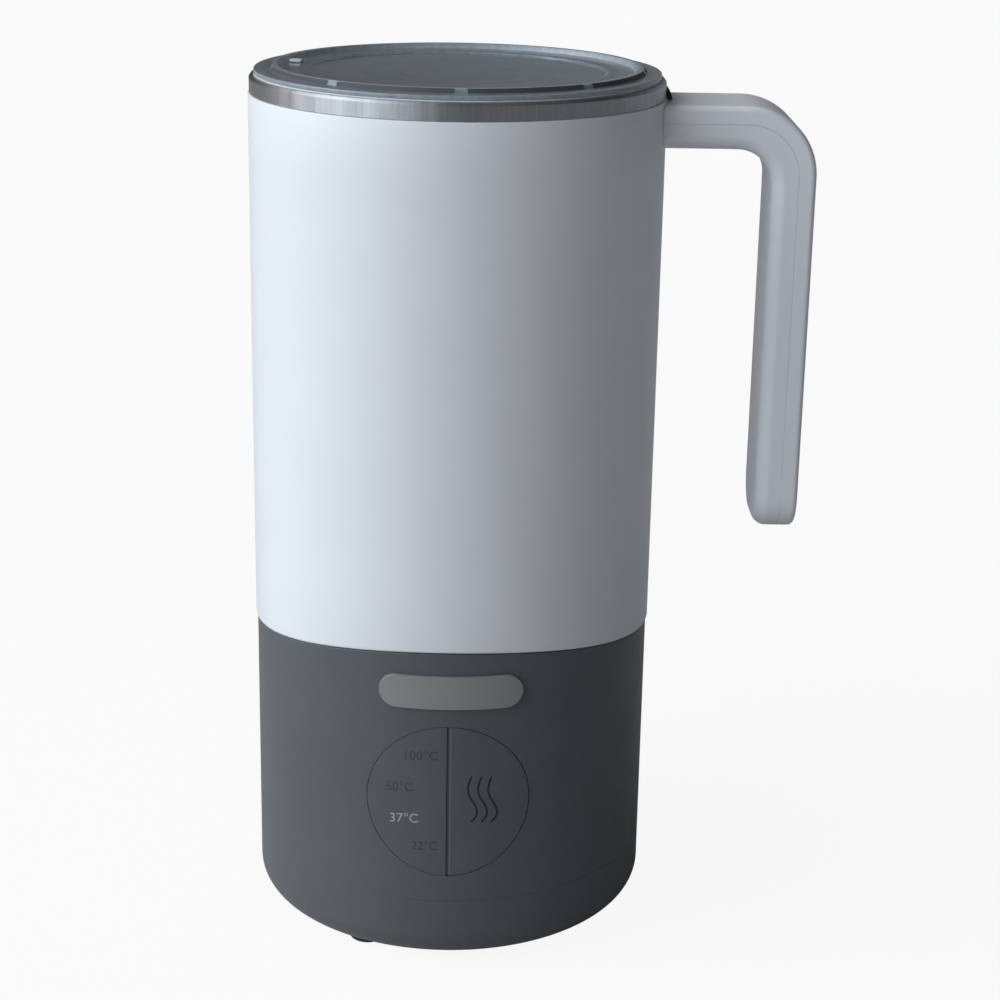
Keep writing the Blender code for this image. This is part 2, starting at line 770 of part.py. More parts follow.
def drive():
    bracket = block(
        "motor_bracket",
        (-0.0465, -0.010, SUPPORT_Z - GAP - 0.002),
        (0.0465, 0.010, SUPPORT_Z - GAP),
        STAINLESS,
    )
    combine(bracket, rod("bracket_hole", 0.0035, 0.06, 0.08, None, steps=24))
    boss = 0.0028
    boss_height = 0.002
    turned(
        "motor_can",
        [
            (0, MOTOR_BOTTOM_Z),
            (MOTOR_RADIUS - 0.0015, MOTOR_BOTTOM_Z),
            (MOTOR_RADIUS, MOTOR_BOTTOM_Z + 0.0015),
            (MOTOR_RADIUS, MOTOR_TOP_Z - 0.001),
            (MOTOR_RADIUS - 0.001, MOTOR_TOP_Z),
            (boss, MOTOR_TOP_Z),
            (boss, MOTOR_TOP_Z + boss_height),
            (0, MOTOR_TOP_Z + boss_height),
        ],
        STAINLESS,
        SMALL_STEPS,
    )
    shaft_top = 0.080
    shaft_bottom = MOTOR_TOP_Z + boss_height + GAP
    rod("motor_shaft", SHAFT_RADIUS, shaft_bottom, shaft_top, STAINLESS, steps=SCREW_STEPS)
    bore = SHAFT_RADIUS + GAP
    rotor = turned(
        "drive_rotor",
        [
            (bore, ROTOR_BOTTOM_Z),
            (ROTOR_RADIUS - 0.001, ROTOR_BOTTOM_Z),
            (ROTOR_RADIUS, ROTOR_BOTTOM_Z + 0.001),
            (ROTOR_RADIUS, ROTOR_TOP_Z),
            (0, ROTOR_TOP_Z),
            (0, shaft_top + GAP),
            (bore, shaft_top + GAP),
        ],
        BLACK,
        SMALL_STEPS,
    )
    for number, side in ((1, -1), (2, 1)):
        x = side * MAGNET_CIRCLE
        combine(rotor, rod(f"rotor_pocket_{number}", 0.0043, 0.079, 0.09, None, x, 0, 24))
        rod(f"drive_magnet_{number}", 0.004, 0.0793, ROTOR_TOP_Z - GAP, ALUMINIUM, x, 0, 24)


def whisk():
    """The magnetic stirrer that stands on the pot's spindle."""
    floor_z = POT_FLOOR_Z + STEEL
    turned(
        "whisk_spindle",
        [
            (0, floor_z + GAP),
            (0.0045, floor_z + GAP),
            (0.0045, floor_z + 0.0007),
            (0.0020, floor_z + 0.0010),
            (0.0020, 0.0955),
            (0.0012, 0.0965),
            (0, 0.0965),
        ],
        STAINLESS,
        PIN_STEPS,
    )
    bore = 0.0024
    disc_top = WHISK_BOTTOM_Z + 0.003
    hub_radius = 0.0055
    body = turned(
        "whisk_disc",
        [
            (bore, WHISK_BOTTOM_Z),
            (WHISK_RADIUS - 0.0008, WHISK_BOTTOM_Z),
            (WHISK_RADIUS, WHISK_BOTTOM_Z + 0.0008),
            (WHISK_RADIUS, disc_top),
            (hub_radius, disc_top),
            (hub_radius - 0.0015, 0.1005),
            (0, 0.1015),
            (0, 0.0970),
            (bore, 0.0970),
        ],
        DARK,
        SMALL_STEPS,
    )
    for number in range(WHISK_BLADES):
        blade = block(
            f"blade_{number + 1}",
            (hub_radius + 0.0005, -0.0007, disc_top - 0.0005),
            (WHISK_RADIUS - 0.001, 0.0007, disc_top + 0.0055),
            None,
            turn=2 * math.pi * number / WHISK_BLADES,
        )
        combine(body, blade, "UNION")
    for number, side in ((1, -1), (2, 1)):
        x = side * MAGNET_CIRCLE
        combine(body, rod(f"whisk_pocket_{number}", 0.0030, 0.08, 0.0899, None, x, 0, 24))
        rod(f"whisk_magnet_{number}", 0.0027, WHISK_BOTTOM_Z + 0.0002, 0.0896, ALUMINIUM, x, 0, 24)


# ---------------------------------------------------------------- upper half of the jug
def outer_shell():
    blank_bottom = 0.070            # trimmed to the seam below
    shoulder_z = BAND_BOTTOM_Z - GAP
    profile = [
        (SHELL_INNER, blank_bottom),
        (BODY_RADIUS, blank_bottom),
        (BODY_RADIUS, shoulder_z - EDGE),
        (BODY_RADIUS - EDGE, shoulder_z),
        (RIM_STEP_RADIUS, shoulder_z),
        (RIM_STEP_RADIUS, RIM_STEP_Z),
        (SHELL_INNER, RIM_STEP_Z),
    ]
    shell = turned("outer_shell", profile, WHITE)
    combine(shell, prism("below_shell", seam_outline(GAP, 0.05), -0.07, 0.07))
    for number, side in ((1, -1), (2, 1)):
        place = (BODY_RADIUS, side * HANDLE_SCREW_Y, HANDLE_SCREW_Z)
        bore = cylinder(f"shell_bore_{number}", SCREW_BORE, 0.012, None, place, "X", SCREW_STEPS)
        combine(shell, bore)


def inner_pot():
    floor_radius = POT_RADIUS - POT_CORNER
    corner_z = POT_FLOOR_Z + POT_CORNER
    profile = [(0, POT_FLOOR_Z)]
    profile += arc(floor_radius, corner_z, POT_CORNER, -90, 0, 3)
    profile += [
        (POT_RADIUS, CONE_BOTTOM_Z),
        (MOUTH_RADIUS, CONE_TOP_Z),
        (MOUTH_RADIUS, POT_FLANGE_Z),
        (POT_FLANGE_RADIUS, POT_FLANGE_Z),
        (POT_FLANGE_RADIUS, POT_FLANGE_Z + 0.0006),
        (MOUTH_RADIUS - STEEL, POT_FLANGE_Z + 0.0006),
        (MOUTH_RADIUS - STEEL, CONE_TOP_Z + GAP),
        (POT_RADIUS - STEEL, CONE_BOTTOM_Z + GAP),
    ]
    profile += arc(floor_radius, corner_z, POT_CORNER - STEEL, 0, -90, 3)
    profile += [(0, POT_FLOOR_Z + STEEL)]
    turned("inner_pot", profile, STAINLESS)

    gasket_bottom = RIM_STEP_Z + GAP
    gasket_top = POT_FLANGE_Z - GAP
    turned(
        "pot_gasket",
        [
            (0.0504, gasket_bottom),
            (0.0512, gasket_bottom),
            (0.0512, gasket_top),
            (0.0504, gasket_top),
        ],
        SILICONE,
    )


def rim_band():
    shoulder_r = BAND_RADIUS - BAND_ROUND
    shoulder_z = BAND_TOP_Z - BAND_ROUND
    sheet = 0.0006
    lip = 0.0495
    profile = [(BAND_RADIUS - sheet, BAND_BOTTOM_Z), (BAND_RADIUS, BAND_BOTTOM_Z)]
    profile += arc(shoulder_r, shoulder_z, BAND_ROUND, 0, 90, 3)
    profile += [(lip, BAND_TOP_Z), (lip, BAND_TOP_Z - sheet)]
    profile += arc(shoulder_r, shoulder_z, BAND_ROUND - sheet, 90, 0, 3)
    turned("rim_band", profile, STAINLESS)


def lid():
    """The clear lid: a dish, a raised ring, a flange, a plug and ribbed pockets underneath."""
    seat_z = BAND_TOP_Z + GAP
    plug = 0.0483
    foot_z = 0.2169
    inner_skirt = 0.0402
    roof_z = 0.2216
    flange_z = 0.2233
    edge = 0.0004
    disc = turned(
        "lid_disc",
        [
            (0, 0.2225),
            (0.0366, 0.2225),
            (0.0374, 0.2231),
            (0.0441, 0.2231),
            (0.0450, LID_TOP_Z),
            (0.0464, LID_TOP_Z),
            (0.0467, LID_TOP_Z - 0.0003),
            (0.0473, flange_z),
            (0.0510 - edge, flange_z),
            (0.0510, flange_z - edge),
            (0.0510, seat_z),
            (plug, seat_z),
            (plug, 0.2198),
            (plug - 0.0008, 0.2198),
            (plug - 0.0008, 0.2177),
            (plug, 0.2177),
            (plug, foot_z),
            (plug - 0.0018, foot_z),
            (0.0460, 0.2229),
            (0.0452, 0.2229),
            (0.0442, roof_z),
            (inner_skirt, roof_z),
            (inner_skirt, 0.2176),
            (inner_skirt - 0.0014, 0.2176),
            (inner_skirt - 0.0014, 0.2210),
            (0, 0.2210),
        ],
        CLEAR,
    )
    for number in range(LID_RIBS):
        rib = block(
            f"lid_rib_{number + 1}",
            (inner_skirt - 0.0004, -0.0015, 0.2176),
            (plug - 0.0014, 0.0015, 0.2230),
            None,
            turn=math.radians(LID_RIB_ANGLE) + 2 * math.pi / LID_RIBS * number,
        )
        combine(disc, rib, "UNION")
    turned(
        "lid_gasket",
        [(0.0478, 0.2180), (0.0487, 0.2180), (0.0489, 0.2187), (0.0487, 0.2195), (0.0478, 0.2195)],
        SILICONE,
    )


# ---------------------------------------------------------------- handle
def handle_outline(outside, inside, tip, inner_corner=None):
    """The L of the handle between two depths below its outer face."""
    bend_x = GRIP_REACH - HANDLE_CORNER
    bend_z = HANDLE_TOP_Z - HANDLE_CORNER
    inner_r = inner_corner or HANDLE_CORNER - inside
    turn_x = GRIP_REACH - inside - inner_r
    turn_z = HANDLE_TOP_Z - inside - inner_r
    start_x = 0.040
    outline = [(start_x, HANDLE_TOP_Z - outside)]
    outline += arc(bend_x, bend_z, HANDLE_CORNER - outside, 90, 0, 12)
    outline += [(GRIP_REACH - outside, tip), (GRIP_REACH - inside, tip)]
    outline += arc(turn_x, turn_z, inner_r, 0, 90, 10)
    outline += [(start_x, HANDLE_TOP_Z - inside)]
    return outline


def handle_side(name, inset):
    """The handle as seen from its side, drawn out along X: flat flanks and a rounded tip."""
    side = HANDLE_HALF_WIDTH - inset
    tip_r = HANDLE_TIP_ROUND - inset
    low = HANDLE_TIP_Z + inset
    top = HANDLE_TOP_Z + 0.01
    outline = arc(side - tip_r, low + tip_r, tip_r, 0, -90, 6)
    outline += arc(tip_r - side, low + tip_r, tip_r, -90, -180, 6)
    outline += [(-side, top), (side, top)]
    view = prism(name, outline, -GRIP_REACH - 0.01, 0)
    view.rotation_euler.z = math.pi / 2
    return view


def handle_body(name, side_y, wedge):
    """One shell of the handle: the rounded L without what lies past the split."""
    outline = handle_outline(0, HANDLE_THICKNESS, HANDLE_TIP_Z, HANDLE_INNER_CORNER)
    half = prism(name, outline, -side_y, side_y, WHITE)
    combine(half, handle_side(f"{name}_side", 0), "INTERSECT")
    bevel = half.modifiers.new("Round", "BEVEL")
    bevel.width = HANDLE_ROUND
    bevel.segments = 3
    bevel.limit_method = "ANGLE"
    bevel.angle_limit = math.radians(60)
    combine(half, wedge)
    return half


def handle():
    far = HANDLE_THICKNESS + 0.0025
    side_y = HANDLE_HALF_WIDTH + 0.005
    shell_face = rod("shell_clearance", BODY_RADIUS + GAP, 0.19, 0.23, None, steps=ROUND_STEPS)
    below_split = handle_outline(HANDLE_SPLIT - GAP / 2, far, HANDLE_TIP_Z - 0.01)
    above_split = handle_outline(-far, HANDLE_SPLIT + GAP / 2, HANDLE_TIP_Z - 0.01)
    outer = handle_body("handle_outer", side_y, prism("below_split", below_split, -side_y, side_y))
    inner = handle_body("handle_inner", side_y, prism("above_split", above_split, -side_y, side_y))
    hollow = handle_outline(HANDLE_SKIN, HANDLE_THICKNESS - HANDLE_SKIN, HANDLE_TIP_Z + HANDLE_SKIN)
    cavity = prism("handle_cavity", hollow, -side_y, side_y)
    combine(cavity, handle_side("cavity_side", HANDLE_SKIN), "INTERSECT")
    root = block("handle_root", (0.03, -0.02, 0.19), (HANDLE_ROOT_X, 0.02, 0.23), None)
    combine(cavity, root)
    for half in (outer, inner):
        combine(half, cavity)
        combine(half, shell_face)

    plate_x = 0.0485
    plate_back = plate_x - 0.0015
    plate_low = (plate_back, -0.012, 0.2060)
    plate_high = (plate_x, 0.012, 0.2120)
    bracket = block("handle_bracket", plate_low, plate_high, STAINLESS)
    head = 0.0009
    head_x = plate_back - GAP
    for number, side in ((1, -1), (2, 1)):
        y = side * HANDLE_SCREW_Y
        centre = (0.055, y, HANDLE_SCREW_Z)
        for piece, reach in ((inner, 0.0106), (bracket, 0.02)):
            name = f"{piece.name}_bore_{number}"
            combine(piece, cylinder(name, SCREW_BORE, reach, None, centre, "X", SCREW_STEPS))
        turned(
            f"handle_screw_{number}",
            [
                (0, 0),
                (0.0024, 0),
                (0.0027, head / 2),
                (0.0027, head),
                (0.0015, head),
                (0.0015, 0.0125),
                (0.0007, 0.0135),
                (0, 0.0135),
            ],
            STAINLESS,
            SCREW_STEPS,
            (head_x - head, y, HANDLE_SCREW_Z),
            (0, math.pi / 2, 0),
        )


def rim_key():
    """The small black wedge between the steel band and the top of the handle."""
    foot_z = HANDLE_TOP_Z + GAP
    top_z = foot_z + KEY_HEIGHT
    slope = [(SHELL_INNER, foot_z), (KEY_REACH, foot_z), (KEY_REACH, foot_z + KEY_LIP)]
    slope += [(KEY_REACH - 2 * GAP, top_z), (SHELL_INNER, top_z)]
    key = prism("rim_key", slope, -KEY_HALF_WIDTH, KEY_HALF_WIDTH, BLACK)
    combine(key, rod("band_clearance", BODY_RADIUS + GAP, 0.21, 0.23, None, steps=ROUND_STEPS))


power_base()
jug_floor()
base_housing()
badge()
control_panel()
control_electronics()
heater()
pot_support()
drive()
whisk()
outer_shell()
inner_pot()
rim_band()
lid()
handle()
rim_key()
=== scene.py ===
"""Looks for a cordless baby milk preparer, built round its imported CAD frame.

Metres, +Z up. The control panel faces -Y and the handle points to +X.
"""

import json
import math

import bmesh
import bpy
from mathutils import Matrix, Vector

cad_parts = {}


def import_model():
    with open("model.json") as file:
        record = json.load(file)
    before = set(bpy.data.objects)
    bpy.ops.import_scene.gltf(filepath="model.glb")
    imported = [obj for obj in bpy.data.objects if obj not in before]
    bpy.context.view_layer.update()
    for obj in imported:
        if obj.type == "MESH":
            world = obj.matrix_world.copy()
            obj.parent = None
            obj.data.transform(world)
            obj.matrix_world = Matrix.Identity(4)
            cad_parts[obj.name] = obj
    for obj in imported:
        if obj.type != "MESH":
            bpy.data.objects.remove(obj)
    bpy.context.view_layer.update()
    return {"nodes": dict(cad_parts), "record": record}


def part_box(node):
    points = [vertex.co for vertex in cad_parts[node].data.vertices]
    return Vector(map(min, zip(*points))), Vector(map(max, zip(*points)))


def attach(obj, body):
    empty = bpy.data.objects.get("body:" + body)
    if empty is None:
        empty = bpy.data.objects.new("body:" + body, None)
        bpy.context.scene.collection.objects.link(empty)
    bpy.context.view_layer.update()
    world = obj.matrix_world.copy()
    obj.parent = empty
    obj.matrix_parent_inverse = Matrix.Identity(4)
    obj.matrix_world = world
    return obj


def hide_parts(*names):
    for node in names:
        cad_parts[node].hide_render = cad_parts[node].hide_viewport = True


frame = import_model()


def mm(*values):
    """Millimetres to metres."""
    scaled = [value / 1000 for value in values]
    return scaled[0] if len(scaled) == 1 else scaled


# ---------------------------------------------------------------- places taken from the frame
def round_node(node_name):
    """Where an upright round CAD piece stands: x, y, radius, bottom and top."""
    low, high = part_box(node_name)
    return (low.x + high.x) / 2, (low.y + high.y) / 2, (high.x - low.x) / 2, low.z, high.z


AXIS, _, BODY_R, _, _ = round_node("outer_shell")
_, _, LOWER_R, TRAY_BOTTOM, _ = round_node("power_base_tray")
_, _, BAND_R, BAND_LOW, BAND_TOP = round_node("rim_band")
SPLIT_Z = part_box("base_housing")[0].z
LID_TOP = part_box("lid_disc")[1].z
HANDLE_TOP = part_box("handle_outer")[1].z
GRIP_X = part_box("handle_outer")[1].x - AXIS
HANDLE_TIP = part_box("handle_outer")[0].z
HANDLE_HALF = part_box("handle_outer")[1].y
DECK_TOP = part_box("power_base_deck")[1].z

# The arched seam between the white shell and the dark housing
SEAM_TOP = mm(86.6)
SEAM_ARC = mm(204)
PANEL_Z = mm(46.3)
PANEL_R = mm(20.6)
GROOVE = mm(0.85)

# The dark plastic's wall, the radii of the holes for a screw's head and shank, the cord hole's height
WALL = mm(2.2)
HEAD_HOLE = mm(3.4)
SHANK_HOLE = mm(1.9)
CORD_Z = mm(10.5)
NUMBERS = (1, 2, 3)             # of the feet and of each set of screws

# Radii of the lid: its dished middle, the skirt below it, the raised ring, the plug and the flange
DISH_R = mm(36.6)
SKIRT_R = mm(40.2)
RING_R = mm(46.4)
PLUG_R = mm(48.3)
FLANGE_R = mm(51.0)
WEB_HALF = mm(1.5)
WEB_TURNS = [math.radians(271.5 + 40 * number) for number in range(9)]

SMOOTH = math.radians(32)


# ---------------------------------------------------------------- mesh helpers
def shade(mesh):
    mesh.shade_smooth()
    mesh.set_sharp_from_angle(angle=SMOOTH)


def piece(name, mesh, material=None):
    thing = bpy.data.objects.new(name, mesh)
    bpy.context.scene.collection.objects.link(thing)
    if material is not None:
        mesh.materials.append(material)
    return thing


def from_bmesh(name, bm, material=None):
    bmesh.ops.recalc_face_normals(bm, faces=bm.faces)
    mesh = bpy.data.meshes.new(name)
    bm.to_mesh(mesh)
    bm.free()
    shade(mesh)
    return piece(name, mesh, material)


def applied(thing):
    """Turns a piece's modifiers into plain mesh."""
    graph = bpy.context.evaluated_depsgraph_get()
    mesh = bpy.data.meshes.new_from_object(thing.evaluated_get(graph))
    thing.modifiers.clear()
    old = thing.data
    thing.data = mesh
    bpy.data.meshes.remove(old)
    return thing


def combine(thing, *cutters, operation="DIFFERENCE"):
    """Boolean with each cutter, which is then removed."""
    for cutter in cutters:
        boolean = thing.modifiers.new("Boolean", "BOOLEAN")
        boolean.operation = operation
        boolean.solver = "EXACT"
        boolean.material_mode = "TRANSFER"
        boolean.object = cutter
    applied(thing)
    for cutter in cutters:
        bpy.data.objects.remove(cutter)
    old = thing.data.attributes.get("custom_normal")
    if old is not None:
        thing.data.attributes.remove(old)
    shade(thing.data)
    return thing


def curved_normals(thing, on_face=0.995, on_edge=0.82):
    """Gives the faces of a turned wall the true normals of its cylinder.

    The two limits say how nearly a wall's face, and a face beside one, has to look outwards.
    """
    mesh = thing.data
    outward = []
    on_wall = [False] * len(mesh.vertices)
    for vertex in mesh.vertices:
        outward.append(Vector((vertex.co.x - AXIS, vertex.co.y, 0)).normalized())
    for face in mesh.polygons:
        if all(abs(face.normal.dot(outward[v])) > on_face for v in face.vertices):
            for v in face.vertices:
                on_wall[v] = True
    normals = [Vector(corner.vector) for corner in mesh.corner_normals]
    for face in mesh.polygons:
        for corner in face.loop_indices:
            v = mesh.loops[corner].vertex_index
            facing = face.normal.dot(outward[v])
            if on_wall[v] and abs(facing) > on_edge:
                normals[corner] = outward[v] if facing > 0 else -outward[v]
    mesh.normals_split_custom_set(normals)
    return thing


def soften(thing, width, segments=3, angle=50):
    """Rounds a piece's sharp edges."""
    bevel = thing.modifiers.new("Bevel", "BEVEL")
    bevel.width = width
    bevel.segments = segments
    bevel.limit_method = "ANGLE"
    bevel.angle_limit = math.radians(angle)
    bevel.use_clamp_overlap = True
    applied(thing)
    shade(thing.data)
    normals = thing.modifiers.new("Normals", "WEIGHTED_NORMAL")
    normals.keep_sharp = True
    applied(thing)
    return thing


def rounded(points, radius, segments=4):
    """A closed (radius, height) outline with its corners rounded; corners on the axis stay."""
    result = []
    for i, (r, z) in enumerate(points):
        here = Vector((r, z))
        before = Vector(points[i - 1]) - here
        after = Vector(points[(i + 1) % len(points)]) - here
        room = 0.45 * min(before.length, after.length)
        bend = math.pi - before.angle(after)
        if r == 0 or bend < math.radians(20):
            result.append((r, z))
            continue
        reach = min(radius * math.tan(bend / 2), room)
        start = here + before.normalized() * reach
        end = here + after.normalized() * reach
        for k in range(segments + 1):
            s = k / segments
            spot = start * (1 - s) ** 2 + here * (2 * s * (1 - s)) + end * s**2
            result.append((spot.x, spot.y))
    return result


def arc(cx, cy, radius, start, end, steps):
    turns = [math.radians(start + (end - start) * i / steps) for i in range(steps + 1)]
    return [(cx + radius * math.cos(a), cy + radius * math.sin(a)) for a in turns]


def oblong(inner, outer, low, high):
    """A rectangle of (radius, height) corners."""
    return [(inner, low), (outer, low), (outer, high), (inner, high)]


def join_rings(bm, rings):
    """Faces between each ring and the next, all the way round."""
    for ring, other in zip(rings, rings[1:] + rings[:1]):
        for k in range(len(ring)):
            m = (k + 1) % len(ring)
            corners = list(dict.fromkeys([ring[k], ring[m], other[m], other[k]]))
            if len(corners) > 2:
                bm.faces.new(corners)


def sweep(name, outline_at, material=None, steps=256, x=AXIS, y=0.0):
    """A piece turned about an upright axis; outline_at gives its outline at each angle."""
    bm = bmesh.new()
    rings = []
    poles = {}
    for i in range(steps):
        angle = 2 * math.pi * i / steps
        ring = []
        for k, (r, z) in enumerate(outline_at(angle)):
            if r == 0:
                if k not in poles:
                    poles[k] = bm.verts.new((x, y, z))
                ring.append(poles[k])
            else:
                ring.append(bm.verts.new((x + r * math.cos(angle), y + r * math.sin(angle), z)))
        rings.append(ring)
    join_rings(bm, rings)
    return from_bmesh(name, bm, material)


def turned(name, profile, material=None, steps=256, x=AXIS, y=0.0, radius=0.0):
    outline = rounded(profile, radius) if radius else profile
    return sweep(name, lambda angle: outline, material, steps, x, y)


def extruded(name, corners, reach, material=None):
    """A flat outline drawn out along a vector."""
    bm = bmesh.new()
    face = bm.faces.new([bm.verts.new(corner) for corner in corners])
    drawn = bmesh.ops.extrude_face_region(bm, geom=[face])["geom"]
    moved = [item for item in drawn if isinstance(item, bmesh.types.BMVert)]
    bmesh.ops.translate(bm, verts=moved, vec=reach)
    return from_bmesh(name, bm, material)


def prism(name, outline, low_y, high_y, material=None):
    """An (x, z) outline drawn out along Y, placed from the jug's axis."""
    corners = [(AXIS + x, low_y, z) for x, z in outline]
    return extruded(name, corners, (0, high_y - low_y, 0), material)


def block(name, low, high, material=None, turn=0.0):
    """A box between two corners, placed from the jug's axis and turned about it."""
    size = [b - a for a, b in zip(low, high)]
    centre = [(a + b) / 2 for a, b in zip(low, high)]
    bm = bmesh.new()
    place = (
        Matrix.Translation((AXIS, 0, 0))
        @ Matrix.Rotation(turn, 4, "Z")
        @ Matrix.Translation(centre)
        @ Matrix.Diagonal((*size, 1.0))
    )
    bmesh.ops.create_cube(bm, size=1.0, matrix=place)
    return from_bmesh(name, bm, material)


def bar(name, start, end, radius, steps=48):
    """A straight round bar between two points, placed from the jug's axis."""
    first, last = Vector(start), Vector(end)
    along = last - first
    place = (
        Matrix.Translation(Vector((AXIS, 0, 0)) + (first + last) / 2)
        @ along.to_track_quat("Z", "Y").to_matrix().to_4x4()
    )
    bm = bmesh.new()
    bmesh.ops.create_cone(
        bm,
        cap_ends=True,
        segments=steps,
        radius1=radius,
        radius2=radius,
        depth=along.length,
        matrix=place,
    )
    return from_bmesh(name, bm)


# ---------------------------------------------------------------- materials
class Nodes:
    """A short way to write a node tree."""

    def __init__(self, tree):
        self.tree = tree

    def add(self, kind, **values):
        node = self.tree.nodes.new(kind)
        for key, value in values.items():
            if hasattr(node, key):
                setattr(node, key, value)
            else:
                node.inputs[key.replace("_", " ")].default_value = value
        return node

    def join(self, source, target):
        self.tree.links.new(source, target)

    def place(self):
        return self.add("ShaderNodeTexCoord").outputs["Object"]

    def split(self, vector):
        node = self.add("ShaderNodeSeparateXYZ")
        self.join(vector, node.inputs[0])
        return node.outputs["X"], node.outputs["Y"], node.outputs["Z"]

    def maths(self, operation, *values):
        node = self.tree.nodes.new("ShaderNodeMath")
        node.operation = operation
        for socket, value in zip(node.inputs, values):
            if isinstance(value, (int, float)):
                socket.default_value = value
            else:
                self.join(value, socket)
        return node.outputs[0]

    def mix(self, first, second, share):
        """Two values added up, the first with this share."""
        rest = self.maths("MULTIPLY", second, 1 - share)
        return self.maths("ADD", self.maths("MULTIPLY", first, share), rest)

    def noise(self, vector, size, detail=2.0, roughness=0.5):
        """Noise whose patches are about this long."""
        node = self.add("ShaderNodeTexNoise", Scale=1 / size, Detail=detail, Roughness=roughness)
        self.join(vector, node.inputs["Vector"])
        return node.outputs["Fac"]

    def spread(self, value, low, high, source_low=0.3, source_high=0.7):
        node = self.add("ShaderNodeMapRange")
        node.inputs["From Min"].default_value = source_low
        node.inputs["From Max"].default_value = source_high
        node.inputs["To Min"].default_value = low
        node.inputs["To Max"].default_value = high
        self.join(value, node.inputs["Value"])
        return node.outputs["Result"]

    def tint(self, value, first, second):
        node = self.add("ShaderNodeMix", data_type="RGBA")
        colours = [socket for socket in node.inputs if socket.type == "RGBA"]
        colours[0].default_value = (*first, 1.0)
        colours[1].default_value = (*second, 1.0)
        self.join(value, node.inputs["Factor"])
        return next(socket for socket in node.outputs if socket.type == "RGBA")

    def bump(self, value, strength, distance):
        node = self.add("ShaderNodeBump", Strength=strength, Distance=distance)
        self.join(value, node.inputs["Height"])
        return node.outputs["Normal"]


def blank(name):
    material = bpy.data.materials.new(name)
    material.use_nodes = True
    shader = material.node_tree.nodes["Principled BSDF"]
    return material, Nodes(material.node_tree), shader


def shift(colour, amount):
    return tuple(max(0.0, min(1.0, channel * (1 + amount))) for channel in colour)


def moulded(name, colour, rough, tone=0.03, grain=0.25, grain_size=0.35, patch=20, **fixed):
    """Moulded plastic or rubber: cloudy tone, fine moulded grain, uneven gloss."""
    material, nodes, shader = blank(name)
    place = nodes.place()
    cloud = nodes.spread(nodes.noise(place, mm(patch), 3.0), 0, 1)
    nodes.join(nodes.tint(cloud, shift(colour, -tone), shift(colour, tone)), shader.inputs["Base Color"])
    fine = nodes.noise(place, mm(grain_size), 2.0, 0.6)
    uneven = nodes.mix(fine, nodes.noise(place, mm(6), 2.0), 0.5)
    gloss = nodes.spread(uneven, rough - 0.05, rough + 0.05, 0.35, 0.65)
    nodes.join(gloss, shader.inputs["Roughness"])
    nodes.join(nodes.bump(fine, grain, mm(0.04)), shader.inputs["Normal"])
    for key, value in fixed.items():
        shader.inputs[key.replace("_", " ")].default_value = value
    return material


def around(nodes, along=1.0, up=1.0):
    """Coordinates laid round the jug's axis: arc length, height."""
    x, y, z = nodes.split(nodes.place())
    turn = nodes.maths("ARCTAN2", y, nodes.maths("SUBTRACT", x, AXIS))
    merge = nodes.add("ShaderNodeCombineXYZ")
    nodes.join(nodes.maths("MULTIPLY", turn, BODY_R * along), merge.inputs["X"])
    nodes.join(nodes.maths("MULTIPLY", z, up), merge.inputs["Y"])
    return merge.outputs[0]


def brushed(name, colour, rough, along, up, line=0.3, strength=0.25, spread=0.08, tone=0.1):
    """Metal with fine lines: along and up stretch the pattern round the axis and in height."""
    material, nodes, shader = blank(name)
    place = around(nodes, along, up)
    lines = nodes.noise(place, mm(line), 4.0, 0.65)
    mixed = nodes.mix(lines, nodes.noise(place, mm(line * 9), 2.0), 0.6)
    colours = nodes.tint(nodes.spread(mixed, 0, 1), shift(colour, -tone), shift(colour, 0.7 * tone))
    nodes.join(colours, shader.inputs["Base Color"])
    nodes.join(nodes.spread(mixed, rough - spread, rough + spread), shader.inputs["Roughness"])
    nodes.join(nodes.bump(mixed, strength, mm(0.06)), shader.inputs["Normal"])
    shader.inputs["Metallic"].default_value = 1.0
    return material


def stretched(material, amount):
    """Draws a turned metal's highlights out upwards and downwards."""
    nodes = Nodes(material.node_tree)
    shader = material.node_tree.nodes["Principled BSDF"]
    shader.inputs["Anisotropic"].default_value = amount
    shader.inputs["Anisotropic Rotation"].default_value = 0.25
    round_axis = nodes.add("ShaderNodeTangent", direction_type="RADIAL", axis="Z")
    nodes.join(round_axis.outputs[0], shader.inputs["Tangent"])
    return material


def cast_metal(name, colour, rough):
    return moulded(name, colour, rough, tone=0.06, grain=0.5, grain_size=0.5, Metallic=1.0)


